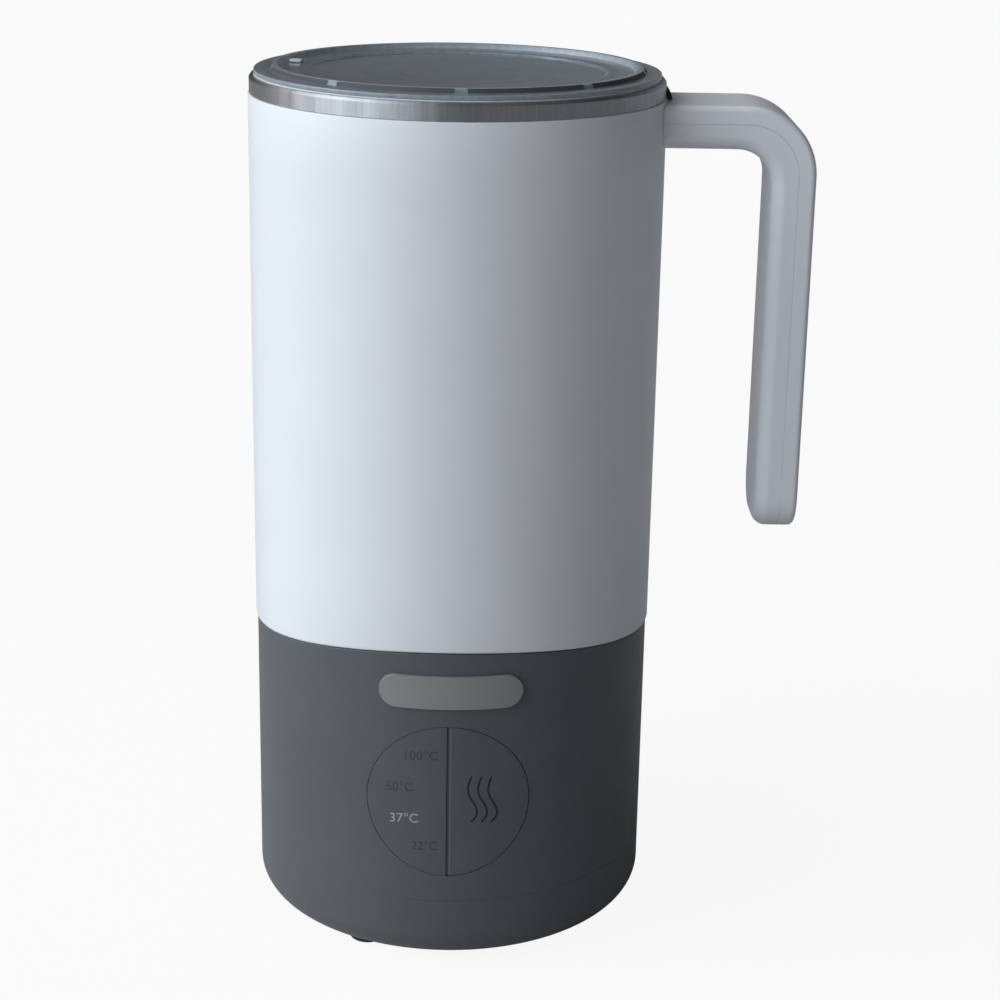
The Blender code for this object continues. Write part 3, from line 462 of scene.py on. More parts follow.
def clear_plastic(name):
    """Clear, slightly smoky moulding with faint turned rings, haziest on the raised ring's crest."""
    material, nodes, shader = blank(name)
    place = nodes.place()
    x, y, _ = nodes.split(place)
    across = nodes.maths("POWER", nodes.maths("SUBTRACT", x, AXIS), 2.0)
    radius = nodes.maths("POWER", nodes.maths("ADD", across, nodes.maths("POWER", y, 2.0)), 0.5)
    reach = mm(52)
    zones = (
        (0, 0.42), (DISH_R, 0.42), (DISH_R + mm(0.3), 0.6), (DISH_R + mm(0.9), 0.6),
        (DISH_R + mm(1.2), 0.36), (RING_R - mm(2.4), 0.40), (RING_R - mm(2.1), 0.8),
        (RING_R + mm(0.1), 0.8), (RING_R + mm(0.3), 0.45), (FLANGE_R - mm(0.4), 0.45), (FLANGE_R, 0.8),
    )
    haze = nodes.add("ShaderNodeValToRGB")
    stops = haze.color_ramp.elements
    while len(stops) < len(zones):
        stops.new(0.5)
    for stop, (r, level) in zip(stops, zones):
        stop.position = r / reach
        stop.color = (level, level, level, 1)
    nodes.join(nodes.maths("DIVIDE", radius, reach), haze.inputs[0])
    cloud = nodes.noise(place, mm(1.6), 5.0, 0.7)
    merge = nodes.add("ShaderNodeCombineXYZ")
    nodes.join(radius, merge.inputs["X"])
    turned_marks = nodes.spread(nodes.noise(merge.outputs[0], mm(2.2), 3.0, 0.6), 0.7, 1.35)
    clouded = nodes.maths("MULTIPLY", turned_marks, nodes.spread(cloud, 0.8, 1.15))
    hazy = nodes.maths("MULTIPLY", haze.outputs[0], clouded)
    nodes.join(nodes.tint(hazy, (0.54, 0.62, 0.68), (0.65, 0.72, 0.785)), shader.inputs["Base Color"])
    scuffs = nodes.noise(place, mm(1.1), 4.0, 0.7)
    nodes.join(nodes.spread(scuffs, 0.06, 0.16), shader.inputs["Roughness"])
    nodes.join(nodes.spread(hazy, 0.95, 0.45, 0.0, 1.0), shader.inputs["Transmission Weight"])
    nodes.join(nodes.bump(cloud, 0.05, mm(0.1)), shader.inputs["Normal"])
    shader.inputs["IOR"].default_value = 1.49
    return material


def board(name):
    """Green lacquered circuit board with paler tracks."""
    material, nodes, shader = blank(name)
    cells = nodes.add("ShaderNodeTexVoronoi", Scale=700.0, feature="DISTANCE_TO_EDGE")
    nodes.join(nodes.place(), cells.inputs["Vector"])
    tracks = nodes.spread(cells.outputs["Distance"], 1, 0, 0.02, 0.06)
    nodes.join(nodes.tint(tracks, (0.02, 0.12, 0.05), (0.06, 0.26, 0.10)), shader.inputs["Base Color"])
    nodes.join(nodes.bump(tracks, 0.3, mm(0.04)), shader.inputs["Normal"])
    shader.inputs["Roughness"].default_value = 0.35
    return material


WHITE = moulded("white_plastic", (0.80, 0.82, 0.855), 0.36, tone=0.012, grain=0.10, grain_size=0.30)
DARK = moulded(
    "dark_plastic", (0.085, 0.095, 0.102), 0.42, tone=0.05, grain=0.30, grain_size=0.28, Sheen_Weight=0.09
)
LEGEND = moulded("legend_dark", (0.040, 0.046, 0.050), 0.5)
# Painted shade: the dark colour of the sheet that stands for the shadowed pockets under the lid's ring
SLOT_SHADE = moulded("slot_shadow", (0.058, 0.064, 0.070), 0.6, tone=0.15)
LEGEND_LIT = moulded("legend_lit", (0.42, 0.42, 0.41), 0.45, tone=0.05)
BLACK = moulded("black_plastic", (0.016, 0.016, 0.018), 0.42, tone=0.12)
BADGE = moulded("badge_plastic", (0.25, 0.25, 0.24), 0.42, tone=0.04, grain=0.2)
RUBBER = moulded("rubber", (0.035, 0.035, 0.037), 0.75, tone=0.15, grain=0.6, grain_size=0.5)
SILICONE = moulded("silicone", (0.60, 0.62, 0.64), 0.5, tone=0.03, grain=0.15)
LED = moulded("led", (0.88, 0.88, 0.80), 0.3, tone=0.04)
CLEAR = clear_plastic("clear_plastic")
FROST = moulded(
    "frosted_plastic", (0.66, 0.69, 0.72), 0.35, tone=0.05, grain=0.2, grain_size=0.6, patch=3
)
BAND = stretched(
    brushed(
        "band_steel", (0.44, 0.455, 0.47), 0.36, along=1.0, up=0.04,
        line=0.45, strength=0.4, spread=0.12, tone=0.24,
    ),
    0.8,
)
STEEL = brushed("stainless", (0.56, 0.57, 0.58), 0.27, along=0.05, up=1.0, line=0.35, strength=0.2)
ALUMINIUM = cast_metal("aluminium", (0.70, 0.71, 0.72), 0.38)
BRASS = cast_metal("brass", (0.74, 0.56, 0.26), 0.28)
CIRCUIT = board("circuit_board")

SLOT_LOOKS = {
    "white_plastic": WHITE,
    "dark_plastic": DARK,
    "black_plastic": BLACK,
    "badge_plastic": BADGE,
    "clear_plastic": CLEAR,
    "rubber": RUBBER,
    "silicone": SILICONE,
    "stainless": STEEL,
    "aluminium": ALUMINIUM,
    "brass": BRASS,
    "circuit_board": CIRCUIT,
    "led": LED,
}
NODE_SLOT = {row["node"]: row["material_slot"] for row in frame["record"]["subparts"]}
NODE_BODY = {
    node: body
    for body, nodes_in in frame["record"]["behaviour"]["bodies"].items()
    for node in nodes_in
}
for node_name, node_object in frame["nodes"].items():
    node_object.data.materials.clear()
    node_object.data.materials.append(SLOT_LOOKS[NODE_SLOT[node_name]])


def stand_in(thing, *nodes_named):
    """The piece takes the place of these CAD nodes, on their body."""
    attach(thing, NODE_BODY[nodes_named[0]])
    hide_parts(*nodes_named)
    return thing


def belongs(thing, node_named):
    """An extra piece on a CAD node's body."""
    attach(thing, NODE_BODY[node_named])
    return thing


# ---------------------------------------------------------------- camera
def camera():
    data = bpy.data.cameras.new("camera")
    data.sensor_width = 36
    data.lens = 80.38
    eye = bpy.data.objects.new("camera", data)
    bpy.context.scene.collection.objects.link(eye)
    stand = (-0.0128, -0.5650, 0.2926)
    yaw, pitch, roll = 0.0117, 0.3127, 0.018
    level = Vector((math.cos(yaw), -math.sin(yaw), 0))
    forward = Vector((math.sin(yaw), math.cos(yaw), 0))
    ahead = forward * math.cos(pitch) - Vector((0, 0, math.sin(pitch)))
    above = level.cross(ahead)
    right = level * math.cos(roll) + above * math.sin(roll)
    up = above * math.cos(roll) - level * math.sin(roll)
    turn = Matrix((right, up, -ahead)).transposed().to_4x4()
    eye.matrix_world = Matrix.Translation(stand) @ turn
    bpy.context.scene.camera = eye


camera()


# ---------------------------------------------------------------- power base
def screw(node_name):
    """A pan-head screw with a cross recess, its head down."""
    x, y, head, low, high = round_node(node_name)
    shank, rim = mm(1.5), low + mm(0.7)
    profile = [
        (0, low), (head * 0.55, low + mm(0.05)), (head * 0.88, low + mm(0.25)),
        (head, low + mm(0.55)), (head, rim), (shank, rim),
        (shank, high - mm(1)), (mm(0.7), high), (0, high),
    ]
    body = turned(node_name + "_fine", profile, STEEL, 40, x, y)
    arms = []
    for turn in (0.3, 0.3 + math.pi / 2):
        bm = bmesh.new()
        place = (
            Matrix.Translation((x, y, low))
            @ Matrix.Rotation(turn, 4, "Z")
            @ Matrix.Diagonal((head * 1.1, mm(0.5), mm(0.9), 1.0))
        )
        bmesh.ops.create_cube(bm, size=1.0, matrix=place)
        arms.append(from_bmesh("recess", bm))
    combine(body, *arms)
    return stand_in(body, node_name)


def sink(screw_name, low, step, high):
    """A cutter with room for a screw's head up to the step, and for its shank above it."""
    x, y, _, _, _ = round_node(screw_name)
    profile = [
        (0, low), (HEAD_HOLE, low), (HEAD_HOLE, step),
        (SHANK_HOLE, step), (SHANK_HOLE, high), (0, high),
    ]
    return turned("sink", profile, None, 48, x, y)


def power_base():
    """The tray with its feet and screws."""
    fillet = mm(7.5)
    corner = LOWER_R - fillet
    corner_z = TRAY_BOTTOM + fillet
    rim = SPLIT_Z - mm(0.04)
    profile = [(0, TRAY_BOTTOM)]
    profile += arc(corner, corner_z, fillet, -90, 0, 24)
    profile += [(LOWER_R, rim - mm(0.03)), (LOWER_R - mm(0.03), rim)]
    profile += [(LOWER_R - WALL + mm(0.3), rim), (LOWER_R - WALL, rim - mm(0.3))]
    profile += arc(corner, corner_z, fillet - WALL, 0, -90, 12)
    profile += [(0, TRAY_BOTTOM + WALL)]
    tray = turned("tray", profile, DARK)
    below = -mm(1)
    cutters = []
    for number in NUMBERS:
        node = f"foot_{number}"
        x, y, foot_r, low, high = round_node(node)
        outline = rounded(oblong(0, foot_r, low, high), mm(0.5), 5)
        stand_in(turned("rubber_" + node, outline, RUBBER, 64, x, y), node)
        pocket = oblong(0, foot_r + mm(0.2), below, high + mm(0.1))
        cutters.append(turned("pocket", pocket, None, 64, x, y))
        screw(f"base_screw_{number}")
        cutters.append(sink(f"base_screw_{number}", below, mm(2.6), mm(6)))
    cutters.append(bar("cord_hole", (0, mm(46), CORD_Z), (0, mm(58), CORD_Z), mm(3.85)))
    combine(tray, *cutters)
    stand_in(soften(tray, mm(0.2), 2), "power_base_tray")


def base_deck():
    deck_r = LOWER_R - WALL - mm(0.3)
    deck_low = DECK_TOP - WALL
    deck = turned("deck", rounded(oblong(mm(16.3), deck_r, deck_low, DECK_TOP), mm(0.5)), DARK)
    for number in NUMBERS:
        x, y, _, _, _ = round_node(f"base_screw_{number}")
        boss = oblong(mm(1.8), mm(4), mm(3.8), deck_low + mm(0.5))
        combine(deck, turned("boss", boss, None, 40, x, y), operation="UNION")
    stand_in(deck, "power_base_deck")

    tower = mm(29)
    connector = [
        (0, mm(4.5)), (mm(13), mm(4.5)), (mm(16), mm(7.5)), (mm(16), DECK_TOP),
        (mm(8), DECK_TOP), (mm(8), tower), (mm(6.2), tower), (mm(6.2), DECK_TOP + mm(1)),
        (mm(4.8), DECK_TOP + mm(1)), (mm(4.8), tower), (mm(3.0), tower), (mm(3.0), mm(14)), (0, mm(14)),
    ]
    stand_in(turned("connector_tower", rounded(connector, mm(0.6)), BLACK, 96), "base_connector")


def cord_bush():
    """The gland at the back, turned about a line along Y."""
    profile = [
        (mm(2.9), mm(47.8)), (mm(4.2), mm(47.8)), (mm(4.2), mm(49.1)), (mm(3.7), mm(49.1)),
        (mm(3.7), mm(51.4)), (mm(3.3), mm(51.8)), (mm(2.9), mm(51.8)),
    ]
    outline = rounded(profile, mm(0.3), 3)
    steps = 64
    bm = bmesh.new()
    rings = []
    for i in range(steps):
        angle = 2 * math.pi * i / steps
        across, up = math.cos(angle), math.sin(angle)
        rings.append([bm.verts.new((AXIS + r * across, y, CORD_Z + r * up)) for r, y in outline])
    join_rings(bm, rings)
    stand_in(from_bmesh("bush", bm, BLACK), "cord_bush")


power_base()
base_deck()
cord_bush()


# ---------------------------------------------------------------- jug, lower part
FRONT = (mm(-60), mm(-30))      # depths between which a cutter goes through the front wall


def seam(x):
    return SEAM_TOP - SEAM_ARC + math.sqrt(SEAM_ARC**2 - x**2)


def jug_underside():
    _, _, _, low, high = round_node("jug_floor")
    rim = LOWER_R - WALL - mm(0.15)
    plate = turned("underside", rounded(oblong(mm(13.3), rim, low, high), mm(0.3)), DARK)
    sinks = []
    for number in NUMBERS:
        screw(f"floor_screw_{number}")
        sinks.append(sink(f"floor_screw_{number}", low - mm(1), low + mm(1.3), high + mm(1)))
    combine(plate, *sinks)
    stand_in(soften(plate, mm(0.15), 2), "jug_floor")
    cup_r, flange_r, bore_r, lead_r = mm(13.0), mm(16), mm(8.6), mm(2.1)
    roof, step = mm(31.8), mm(23.0)
    cup = [
        (lead_r, roof), (cup_r, roof), (cup_r, step), (flange_r, step), (flange_r, high + mm(0.3)),
        (cup_r, high + mm(0.3)), (cup_r, low), (bore_r + mm(1), low), (bore_r, low + mm(1)),
        (bore_r, mm(29.6)), (lead_r, mm(29.6)),
    ]
    stand_in(turned("connector_cup", rounded(cup, mm(0.4)), BLACK, 96), "jug_connector")


def housing():
    """Dark lower shell with a round hole for the panel."""
    inner = LOWER_R - WALL
    tongue = mm(49.95)
    lip = mm(0.25)

    def outline(angle):
        def at(r, lift):
            return (r, seam(r * math.cos(angle)) + lift)

        top = seam(LOWER_R * math.cos(angle)) - mm(0.12)
        points = [(inner, SPLIT_Z), (LOWER_R - mm(0.03), SPLIT_Z), (LOWER_R, SPLIT_Z + mm(0.03))]
        points += [(LOWER_R, SPLIT_Z + (top - lip - SPLIT_Z) * k / 6) for k in range(1, 6)]
        points += arc(LOWER_R - lip, top - lip, lip, 0, 90, 4)
        points += [at(tongue, mm(-0.12)), at(tongue, mm(4.8)), at(tongue - mm(1.8), mm(4.8))]
        points += [(tongue - mm(1.8), mm(74.5)), (inner, mm(71.5))]
        return points

    shell = sweep("housing", outline, DARK, 360)
    hole = bar("hole", (0, mm(-60), PANEL_Z), (0, mm(-42), PANEL_Z), PANEL_R + mm(0.07), 192)
    combine(shell, hole)
    soften(shell, mm(0.12), 2, 60)
    stand_in(curved_normals(shell), "base_housing")


def pill(cx, cz, width, height, steps=24):
    end = height / 2
    reach = width / 2 - end
    return arc(cx + reach, cz, end, -90, 90, steps) + arc(cx - reach, cz, end, 90, 270, steps)


def half_disc(radius, side, clearance, steps=96):
    limit = math.degrees(math.acos(clearance / radius))
    return [(side * x, z) for x, z in arc(0, PANEL_Z, radius, -limit, limit, steps)]


def curved_plate(name, outline, inner, outer, low, high, material):
    """The part of a tube's wall that lies behind an outline."""
    wall = turned(name, oblong(inner, outer, low, high), material, 480)
    return combine(wall, prism("outline", outline, *FRONT, material), operation="INTERSECT")


def smooth_line(points, steps=10):
    """A smooth curve through points."""
    def between(p, q, r, s, t):
        bend = 2 * p - 5 * q + 4 * r - s
        twist = 3 * q - p - 3 * r + s
        return 0.5 * ((2 * q) + (r - p) * t + bend * t * t + twist * t**3)

    padded = [points[0]] + points + [points[-1]]
    line = []
    for near in zip(padded, padded[1:], padded[2:], padded[3:]):
        for i in range(steps):
            line.append(tuple(between(*coordinate, i / steps) for coordinate in zip(*near)))
    return line + [points[-1]]


def ribbon(points, half_width):
    """The outline of a line of constant width with round ends."""
    line = [Vector(p) for p in smooth_line(points)]
    left, right = [], []
    for i, here in enumerate(line):
        ahead = (line[min(i + 1, len(line) - 1)] - line[max(i - 1, 0)]).normalized()
        side = Vector((-ahead.y, ahead.x)) * half_width
        left.append(here + side)
        right.append(here - side)
    start = math.degrees(math.atan2(*(left[0] - line[0]).yx))
    end = math.degrees(math.atan2(*(right[-1] - line[-1]).yx))
    outline = [tuple(p) for p in left]
    outline += arc(line[-1].x, line[-1].y, half_width, end + 180, end, 8)[1:-1]
    outline += [tuple(p) for p in reversed(right)]
    outline += arc(line[0].x, line[0].y, half_width, start + 180, start, 8)[1:-1]
    return outline


WAVE = (
    (5.9, 53.2), (5.3, 51.6), (5.05, 49.9), (5.4, 48.2), (6.25, 46.6),
    (7.05, 45.1), (7.4, 43.55), (7.1, 42.15), (6.05, 40.95),
)
WAVE_STEP = 2.55
LEVEL = 0.32                    # how far a legend climbs as the wall curves back


def legend(name, words, low_x, high_x, low_z, high_z, material, proud):
    """A temperature laid on the curved face of the button, standing proud of it and rooted in it."""
    root = -mm(0.05)
    font = bpy.data.curves.new(name, "FONT")
    font.body = words
    font.offset = -0.003
    font.extrude = 0.5
    source = bpy.data.objects.new(name + "_source", font)
    bpy.context.scene.collection.objects.link(source)
    bpy.context.view_layer.update()
    graph = bpy.context.evaluated_depsgraph_get()
    mesh = bpy.data.meshes.new_from_object(source.evaluated_get(graph))
    bpy.data.objects.remove(source)
    middle = (low_x + high_x) / 2
    xs = [v.co.x for v in mesh.vertices]
    ys = [v.co.y for v in mesh.vertices]
    for v in mesh.vertices:
        x = low_x + (v.co.x - min(xs)) / (max(xs) - min(xs)) * (high_x - low_x)
        z = low_z + (v.co.y - min(ys)) / (max(ys) - min(ys)) * (high_z - low_z)
        depth = proud if v.co.z > 0 else root
        radius = LOWER_R + depth
        back = math.sqrt(radius**2 - middle**2) - math.sqrt(radius**2 - x**2)
        v.co = (AXIS + x, -math.sqrt(radius**2 - x**2), z - LEVEL * back)
    bm = bmesh.new()
    bm.from_mesh(mesh)
    bmesh.ops.remove_doubles(bm, verts=bm.verts, dist=1e-7)
    return from_bmesh(name, bm, material)


def wall_plate(name, outline, inner, outer, material):
    """A plate of the panel's height, lying in the housing's wall."""
    return curved_plate(name, outline, inner, outer, PANEL_Z - mm(24), PANEL_Z + mm(24), material)


def buttons():
    inner = LOWER_R - mm(2)
    start = wall_plate("start", half_disc(PANEL_R - mm(0.14), 1, GROOVE), inner, LOWER_R, DARK)
    soften(start, mm(0.36), 2)
    for number in range(3):
        points = [(mm(x + WAVE_STEP * number), mm(z - 0.15 * number)) for x, z in WAVE]
        line = ribbon(points, mm(0.24))
        combine(start, wall_plate("groove", line, LOWER_R - mm(0.3), LOWER_R + mm(1), LEGEND))
    stand_in(curved_normals(start), "start_button")
    half = half_disc(PANEL_R - mm(0.07), -1, GROOVE - mm(0.45))
    heat = wall_plate("temperature", half, inner, LOWER_R, DARK)
    stand_in(curved_normals(soften(heat, mm(0.22), 2)), "temperature_button")
    marks = (
        ("mark_100", "100°C", -10.9, -2.6, 57.7, 60.2, LEGEND),
        ("mark_50", "50°C", -15.7, -8.8, 48.7, 51.3, LEGEND),
        ("mark_37", "37°C", -14.7, -7.5, 40.1, 42.7, LEGEND_LIT),
        ("mark_22", "22°C", -9.2, -2.6, 32.8, 35.3, LEGEND),
    )
    for name, words, x0, x1, z0, z1, look in marks:
        mark = legend(name, words, mm(x0), mm(x1), mm(z0), mm(z1), look, mm(0.02))
        belongs(mark, "temperature_button")


def button_frame():
    """The ring behind the buttons, with the divider that shows between them."""
    frame_r = mm(49.0)
    back = frame_r - mm(1.7)
    ring = arc(0, PANEL_Z, PANEL_R + mm(2.8), 0, 356.25, 95)
    holder = wall_plate("panel_frame", ring, back, frame_r, DARK)
    windows = []
    for side in (-1, 1):
        opening = half_disc(PANEL_R - mm(1.7), side, mm(2), 48)
        windows.append(prism("window", opening, *FRONT))
    combine(holder, *windows)
    left, crest, right, reach = -mm(0.26), mm(0.28), mm(0.80), mm(20.45)
    strip = oblong(left, right, PANEL_Z - reach, PANEL_Z + reach)
    divider = wall_plate("divider", strip, back + mm(0.5), LOWER_R - mm(0.42), DARK)
    ramp = [(crest, mm(0.36)), (right, mm(0.06)), (right, mm(1)), (crest, mm(1))]
    corners = [(AXIS + x, depth - LOWER_R, PANEL_Z - reach) for x, depth in ramp]
    combine(divider, extruded("ramp", corners, (0, 0, 2 * reach), DARK), operation="UNION")
    combine(holder, divider, operation="UNION")
    stand_in(holder, "button_frame")


def badge():
    low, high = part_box("badge")
    middle = (low + high) / 2
    outline = pill(middle.x - AXIS, middle.z, high.x - low.x, high.z - low.z)
    inner, outer, room = LOWER_R + mm(0.05), LOWER_R + mm(1), mm(8)
    plate = curved_plate("badge_plate", outline, inner, outer, middle.z - room, middle.z + room, BADGE)
    stand_in(curved_normals(soften(plate, mm(0.35), 4)), "badge")


jug_underside()
housing()
buttons()
button_frame()
badge()


# ---------------------------------------------------------------- jug, upper part
def upper_shell():
    """White shell with an arched, rounded lower lip."""
    inner, neck_r, ledge = mm(50.3), mm(51.3), mm(218.6)
    lip, edge, gap = mm(0.7), mm(0.25), mm(0.08)
    top = BAND_LOW - mm(0.06)

    def outline(angle):
        start = seam(BODY_R * math.cos(angle)) + gap
        points = [(inner, seam(inner * math.cos(angle)) + gap)]
        points += arc(BODY_R - lip, start + lip, lip, -90, 0, 6)
        points += [(BODY_R, start + lip + (top - edge - start - lip) * k / 10) for k in range(1, 10)]
        points += arc(BODY_R - edge, top - edge, edge, 0, 90, 3)
        points += [(neck_r, top), (neck_r, ledge), (inner, ledge)]
        return points

    stand_in(sweep("white_shell", outline, WHITE, 360), "outer_shell")


def rim():
    """The steel band, with a small sloping shoulder."""
    sheet = mm(0.6)
    shoulder_z = mm(221.15)
    mouth_r = mm(51.75)
    lip_r = mm(49.5)
    profile = [
        (BAND_R - sheet, BAND_LOW), (BAND_R - mm(0.1), BAND_LOW), (BAND_R, BAND_LOW + mm(0.1)),
        (BAND_R, shoulder_z), (mouth_r, BAND_TOP - mm(0.05)), (mouth_r - mm(0.05), BAND_TOP),
        (lip_r + mm(0.1), BAND_TOP), (lip_r, BAND_TOP - mm(0.1)), (lip_r, BAND_TOP - sheet),
        (mouth_r - mm(0.2), BAND_TOP - sheet), (BAND_R - sheet, shoulder_z - mm(0.25)),
    ]
    stand_in(turned("steel_band", profile, BAND, 360), "rim_band")


def inner_pot():
    _, _, _, low, flange = round_node("inner_pot")
    steel = mm(0.8)
    radius, mouth, flange_r = mm(45), mm(50), mm(50.8)
    neck_low, neck_high = mm(212.2), mm(216.2)
    corner = mm(8.8)
    floor_r, corner_z = radius - corner, low + corner
    profile = [(0, low)]
    profile += arc(floor_r, corner_z, corner, -90, 0, 14)
    profile += [(radius, neck_low), (mouth, neck_high), (mouth, flange - mm(0.6))]
    profile += [(flange_r, flange - mm(0.6)), (flange_r, flange), (mouth - steel, flange)]
    profile += [(mouth - steel, neck_high + mm(0.3)), (radius - steel, neck_low + mm(0.3))]
    profile += arc(floor_r, corner_z, corner - steel, 0, -90, 14)
    profile += [(0, low + steel)]
    stand_in(turned("steel_pot", profile, STEEL), "inner_pot")

    _, _, _, low, high = round_node("pot_gasket")
    ring = rounded(oblong(mm(50.4), mm(51.2), low, high), mm(0.3))
    stand_in(turned("mouth_seal", ring, SILICONE), "pot_gasket")


def whisk():
    _, _, radius, low, high = round_node("whisk_disc")
    disc_top = low + mm(3)
    hub, bore, blind = mm(5.5), mm(2.4), mm(97)
    profile = [
        (bore, low), (radius, low), (radius, disc_top), (hub, disc_top), (mm(4.0), mm(100.5)),
        (0, high), (0, blind), (bore, blind),
    ]
    body = turned("whisk_wheel", rounded(profile, mm(0.8)), DARK, 128)
    blades = []
    for number in range(6):
        inside = (hub + mm(0.2), -mm(0.7), disc_top - mm(0.5))
        outside = (radius - mm(1), mm(0.7), disc_top + mm(5.5))
        blade = block("blade", inside, outside, DARK, math.pi / 3 * number)
        blades.append(soften(blade, mm(0.45), 3))
    combine(body, *blades, operation="UNION")
    pockets = []
    for number in (1, 2):
        x, y, size, magnet_low, magnet_high = round_node(f"whisk_magnet_{number}")
        outline = rounded(oblong(0, size, magnet_low, magnet_high), mm(0.3))
        magnet = turned(f"stir_magnet_{number}", outline, ALUMINIUM, 48, x, y)
        stand_in(magnet, f"whisk_magnet_{number}")
        room = oblong(0, size + mm(0.3), mm(80), magnet_high + mm(0.3))
        pockets.append(turned("pocket", room, None, 48, x, y))
    combine(body, *pockets)
    stand_in(body, "whisk_disc")

    _, _, _, low, high = round_node("whisk_spindle")
    foot_r, pin_r = mm(4.5), mm(2.0)
    profile = [
        (0, low), (foot_r, low), (foot_r, low + mm(0.4)), (pin_r, low + mm(0.7)),
        (pin_r, high - mm(1)), (mm(1.2), high), (0, high),
    ]
    stand_in(turned("spindle", rounded(profile, mm(0.3)), STEEL, 64), "whisk_spindle")


LID_SEAT = BAND_TOP + mm(0.42)
LID_FLANGE = mm(223.3)
LID_ROOF = mm(221.6)            # of the pockets between skirt and raised ring
LID_FOOT = mm(217.6)


def lid():
    """The clear lid: flange, raised ring, dish and plug, hollow under the ring."""
    dish, shelf, ceiling = mm(222.5), mm(223.1), mm(221.0)
    groove_low, groove_high, plug_low = mm(217.7), mm(219.8), mm(216.9)
    profile = [
        (0, dish), (DISH_R, dish), (DISH_R + mm(0.8), shelf), (RING_R - mm(2.3), shelf),
        (RING_R - mm(1.4), LID_TOP), (RING_R, LID_TOP), (RING_R + mm(0.9), LID_FLANGE),
        (FLANGE_R, LID_FLANGE), (FLANGE_R, LID_SEAT), (PLUG_R, LID_SEAT),
        (PLUG_R, groove_high), (PLUG_R - mm(0.8), groove_high), (PLUG_R - mm(0.8), groove_low),
        (PLUG_R, groove_low), (PLUG_R, plug_low), (PLUG_R - mm(1.8), plug_low),
        (RING_R + mm(0.1), mm(223.0)), (RING_R - mm(0.4), mm(223.9)), (RING_R - mm(1.0), mm(223.9)),
        (RING_R - mm(2.2), LID_ROOF), (SKIRT_R, LID_ROOF), (SKIRT_R, LID_FOOT),
        (SKIRT_R - mm(1.4), LID_FOOT), (SKIRT_R - mm(1.4), ceiling), (0, ceiling),
    ]
    stand_in(turned("clear_lid", rounded(profile, mm(0.3), 3), CLEAR, 288), "lid_disc")


def lid_ribs():
    """The pale webs under the lid, the tab at its left, the teeth at its back and a painted highlight: a
    pale ring at its lower edge.
    """
    gap = mm(0.03)
    inserts = []
    for turn in WEB_TURNS:
        low = (SKIRT_R + gap, -WEB_HALF, LID_FOOT)
        high = (RING_R - mm(0.1), WEB_HALF, LID_ROOF - gap)
        inserts.append(block("rib", low, high, FROST, turn))
        low = (RING_R - mm(0.97), -WEB_HALF, LID_ROOF - mm(0.2))
        high = (RING_R - mm(0.47), WEB_HALF, mm(223.85))
        inserts.append(block("rib", low, high, FROST, turn))
    low = (SKIRT_R + mm(0.2), -mm(1.3), mm(223.0))
    high = (SKIRT_R + mm(3.6), mm(1.3), mm(223.95))
    inserts.append(soften(block("tab", low, high, FROST, math.radians(168)), mm(0.5)))
    # A pale ring under the flange, a painted highlight of the lid's lower edge
    inner, bottom, top = FLANGE_R - mm(0.5), BAND_TOP + gap, LID_SEAT - gap
    edge = [(inner, top), (inner, bottom), (FLANGE_R, bottom), (FLANGE_R, top)]
    inserts.append(turned("edge", rounded(edge, mm(0.1), 2), FROST, 288))
    for number in range(12):
        low = (SKIRT_R - mm(2.3), -mm(0.45), mm(219.2))
        high = (SKIRT_R - mm(1.45), mm(0.45), mm(220.9))
        inserts.append(block("tooth", low, high, FROST, math.radians(38 + 4.6 * number)))
    ribs = inserts.pop(0)
    ribs.name = "lid_ribs"
    belongs(combine(ribs, *inserts, operation="UNION"), "lid_disc")


def lid_slot_shade():
    """Painted shade: a dark ring on the raised ring's outer slope, between the webs, for the shadowed
    pockets under it.
    """
    slope = [
        (RING_R + mm(0.10), mm(224.42)), (RING_R + mm(0.87), mm(223.40)),
        (RING_R + mm(0.60), mm(223.32)), (RING_R - mm(0.10), mm(224.25)),
    ]
    # A dark sheet that paints the shade of the pockets seen through the ring's slope
    slot_shade = turned("lid_slot_shade", slope, SLOT_SHADE, 288)
    webs = []
    for turn in WEB_TURNS:
        low, high = (RING_R - mm(1), -WEB_HALF, mm(223)), (RING_R + mm(2), WEB_HALF, mm(225))
        webs.append(block("web", low, high, SLOT_SHADE, turn))
    belongs(combine(slot_shade, *webs), "lid_disc")


def lid_seal():
    inner, outer, low, high = mm(47.8), mm(48.7), mm(218.0), mm(219.5)
    ring = [(inner, low), (outer, low), (outer + mm(0.2), mm(218.7)), (outer, high), (inner, high)]
    stand_in(turned("lid_seal", rounded(ring, mm(0.3)), SILICONE), "lid_gasket")


# ---------------------------------------------------------------- handle
HANDLE_THICK = mm(11)
HANDLE_ROOT = mm(40)
BEND = mm(17.5)
BEND_X = GRIP_X - BEND
BEND_Z = HANDLE_TOP - BEND


def handle_outline(outside, inside, tip, inner_corner=None):
    """The L of the handle between two depths below its outer face."""
    inner_r = inner_corner or BEND - inside
    outline = [(HANDLE_ROOT, HANDLE_TOP - outside)]
    outline += arc(BEND_X, BEND_Z, BEND - outside, 90, 0, 40)
    outline += [(GRIP_X - outside, tip), (GRIP_X - inside, tip)]
    outline += arc(GRIP_X - inside - inner_r, HANDLE_TOP - inside - inner_r, inner_r, 0, 90, 28)
    return outline + [(HANDLE_ROOT, HANDLE_TOP - inside)]


def handle_side():
    """The handle as seen from its side: flat flanks and a rounded tip."""
    tip_r = mm(10)
    above = mm(230)
    low, side = HANDLE_TIP + tip_r, HANDLE_HALF - tip_r
    outline = arc(side, low, tip_r, 0, -90, 20) + arc(-side, low, tip_r, -90, -180, 20)
    outline += [(-HANDLE_HALF, above), (HANDLE_HALF, above)]
    return extruded("side", [(AXIS + mm(30), y, z) for y, z in outline], (mm(70), 0, 0))


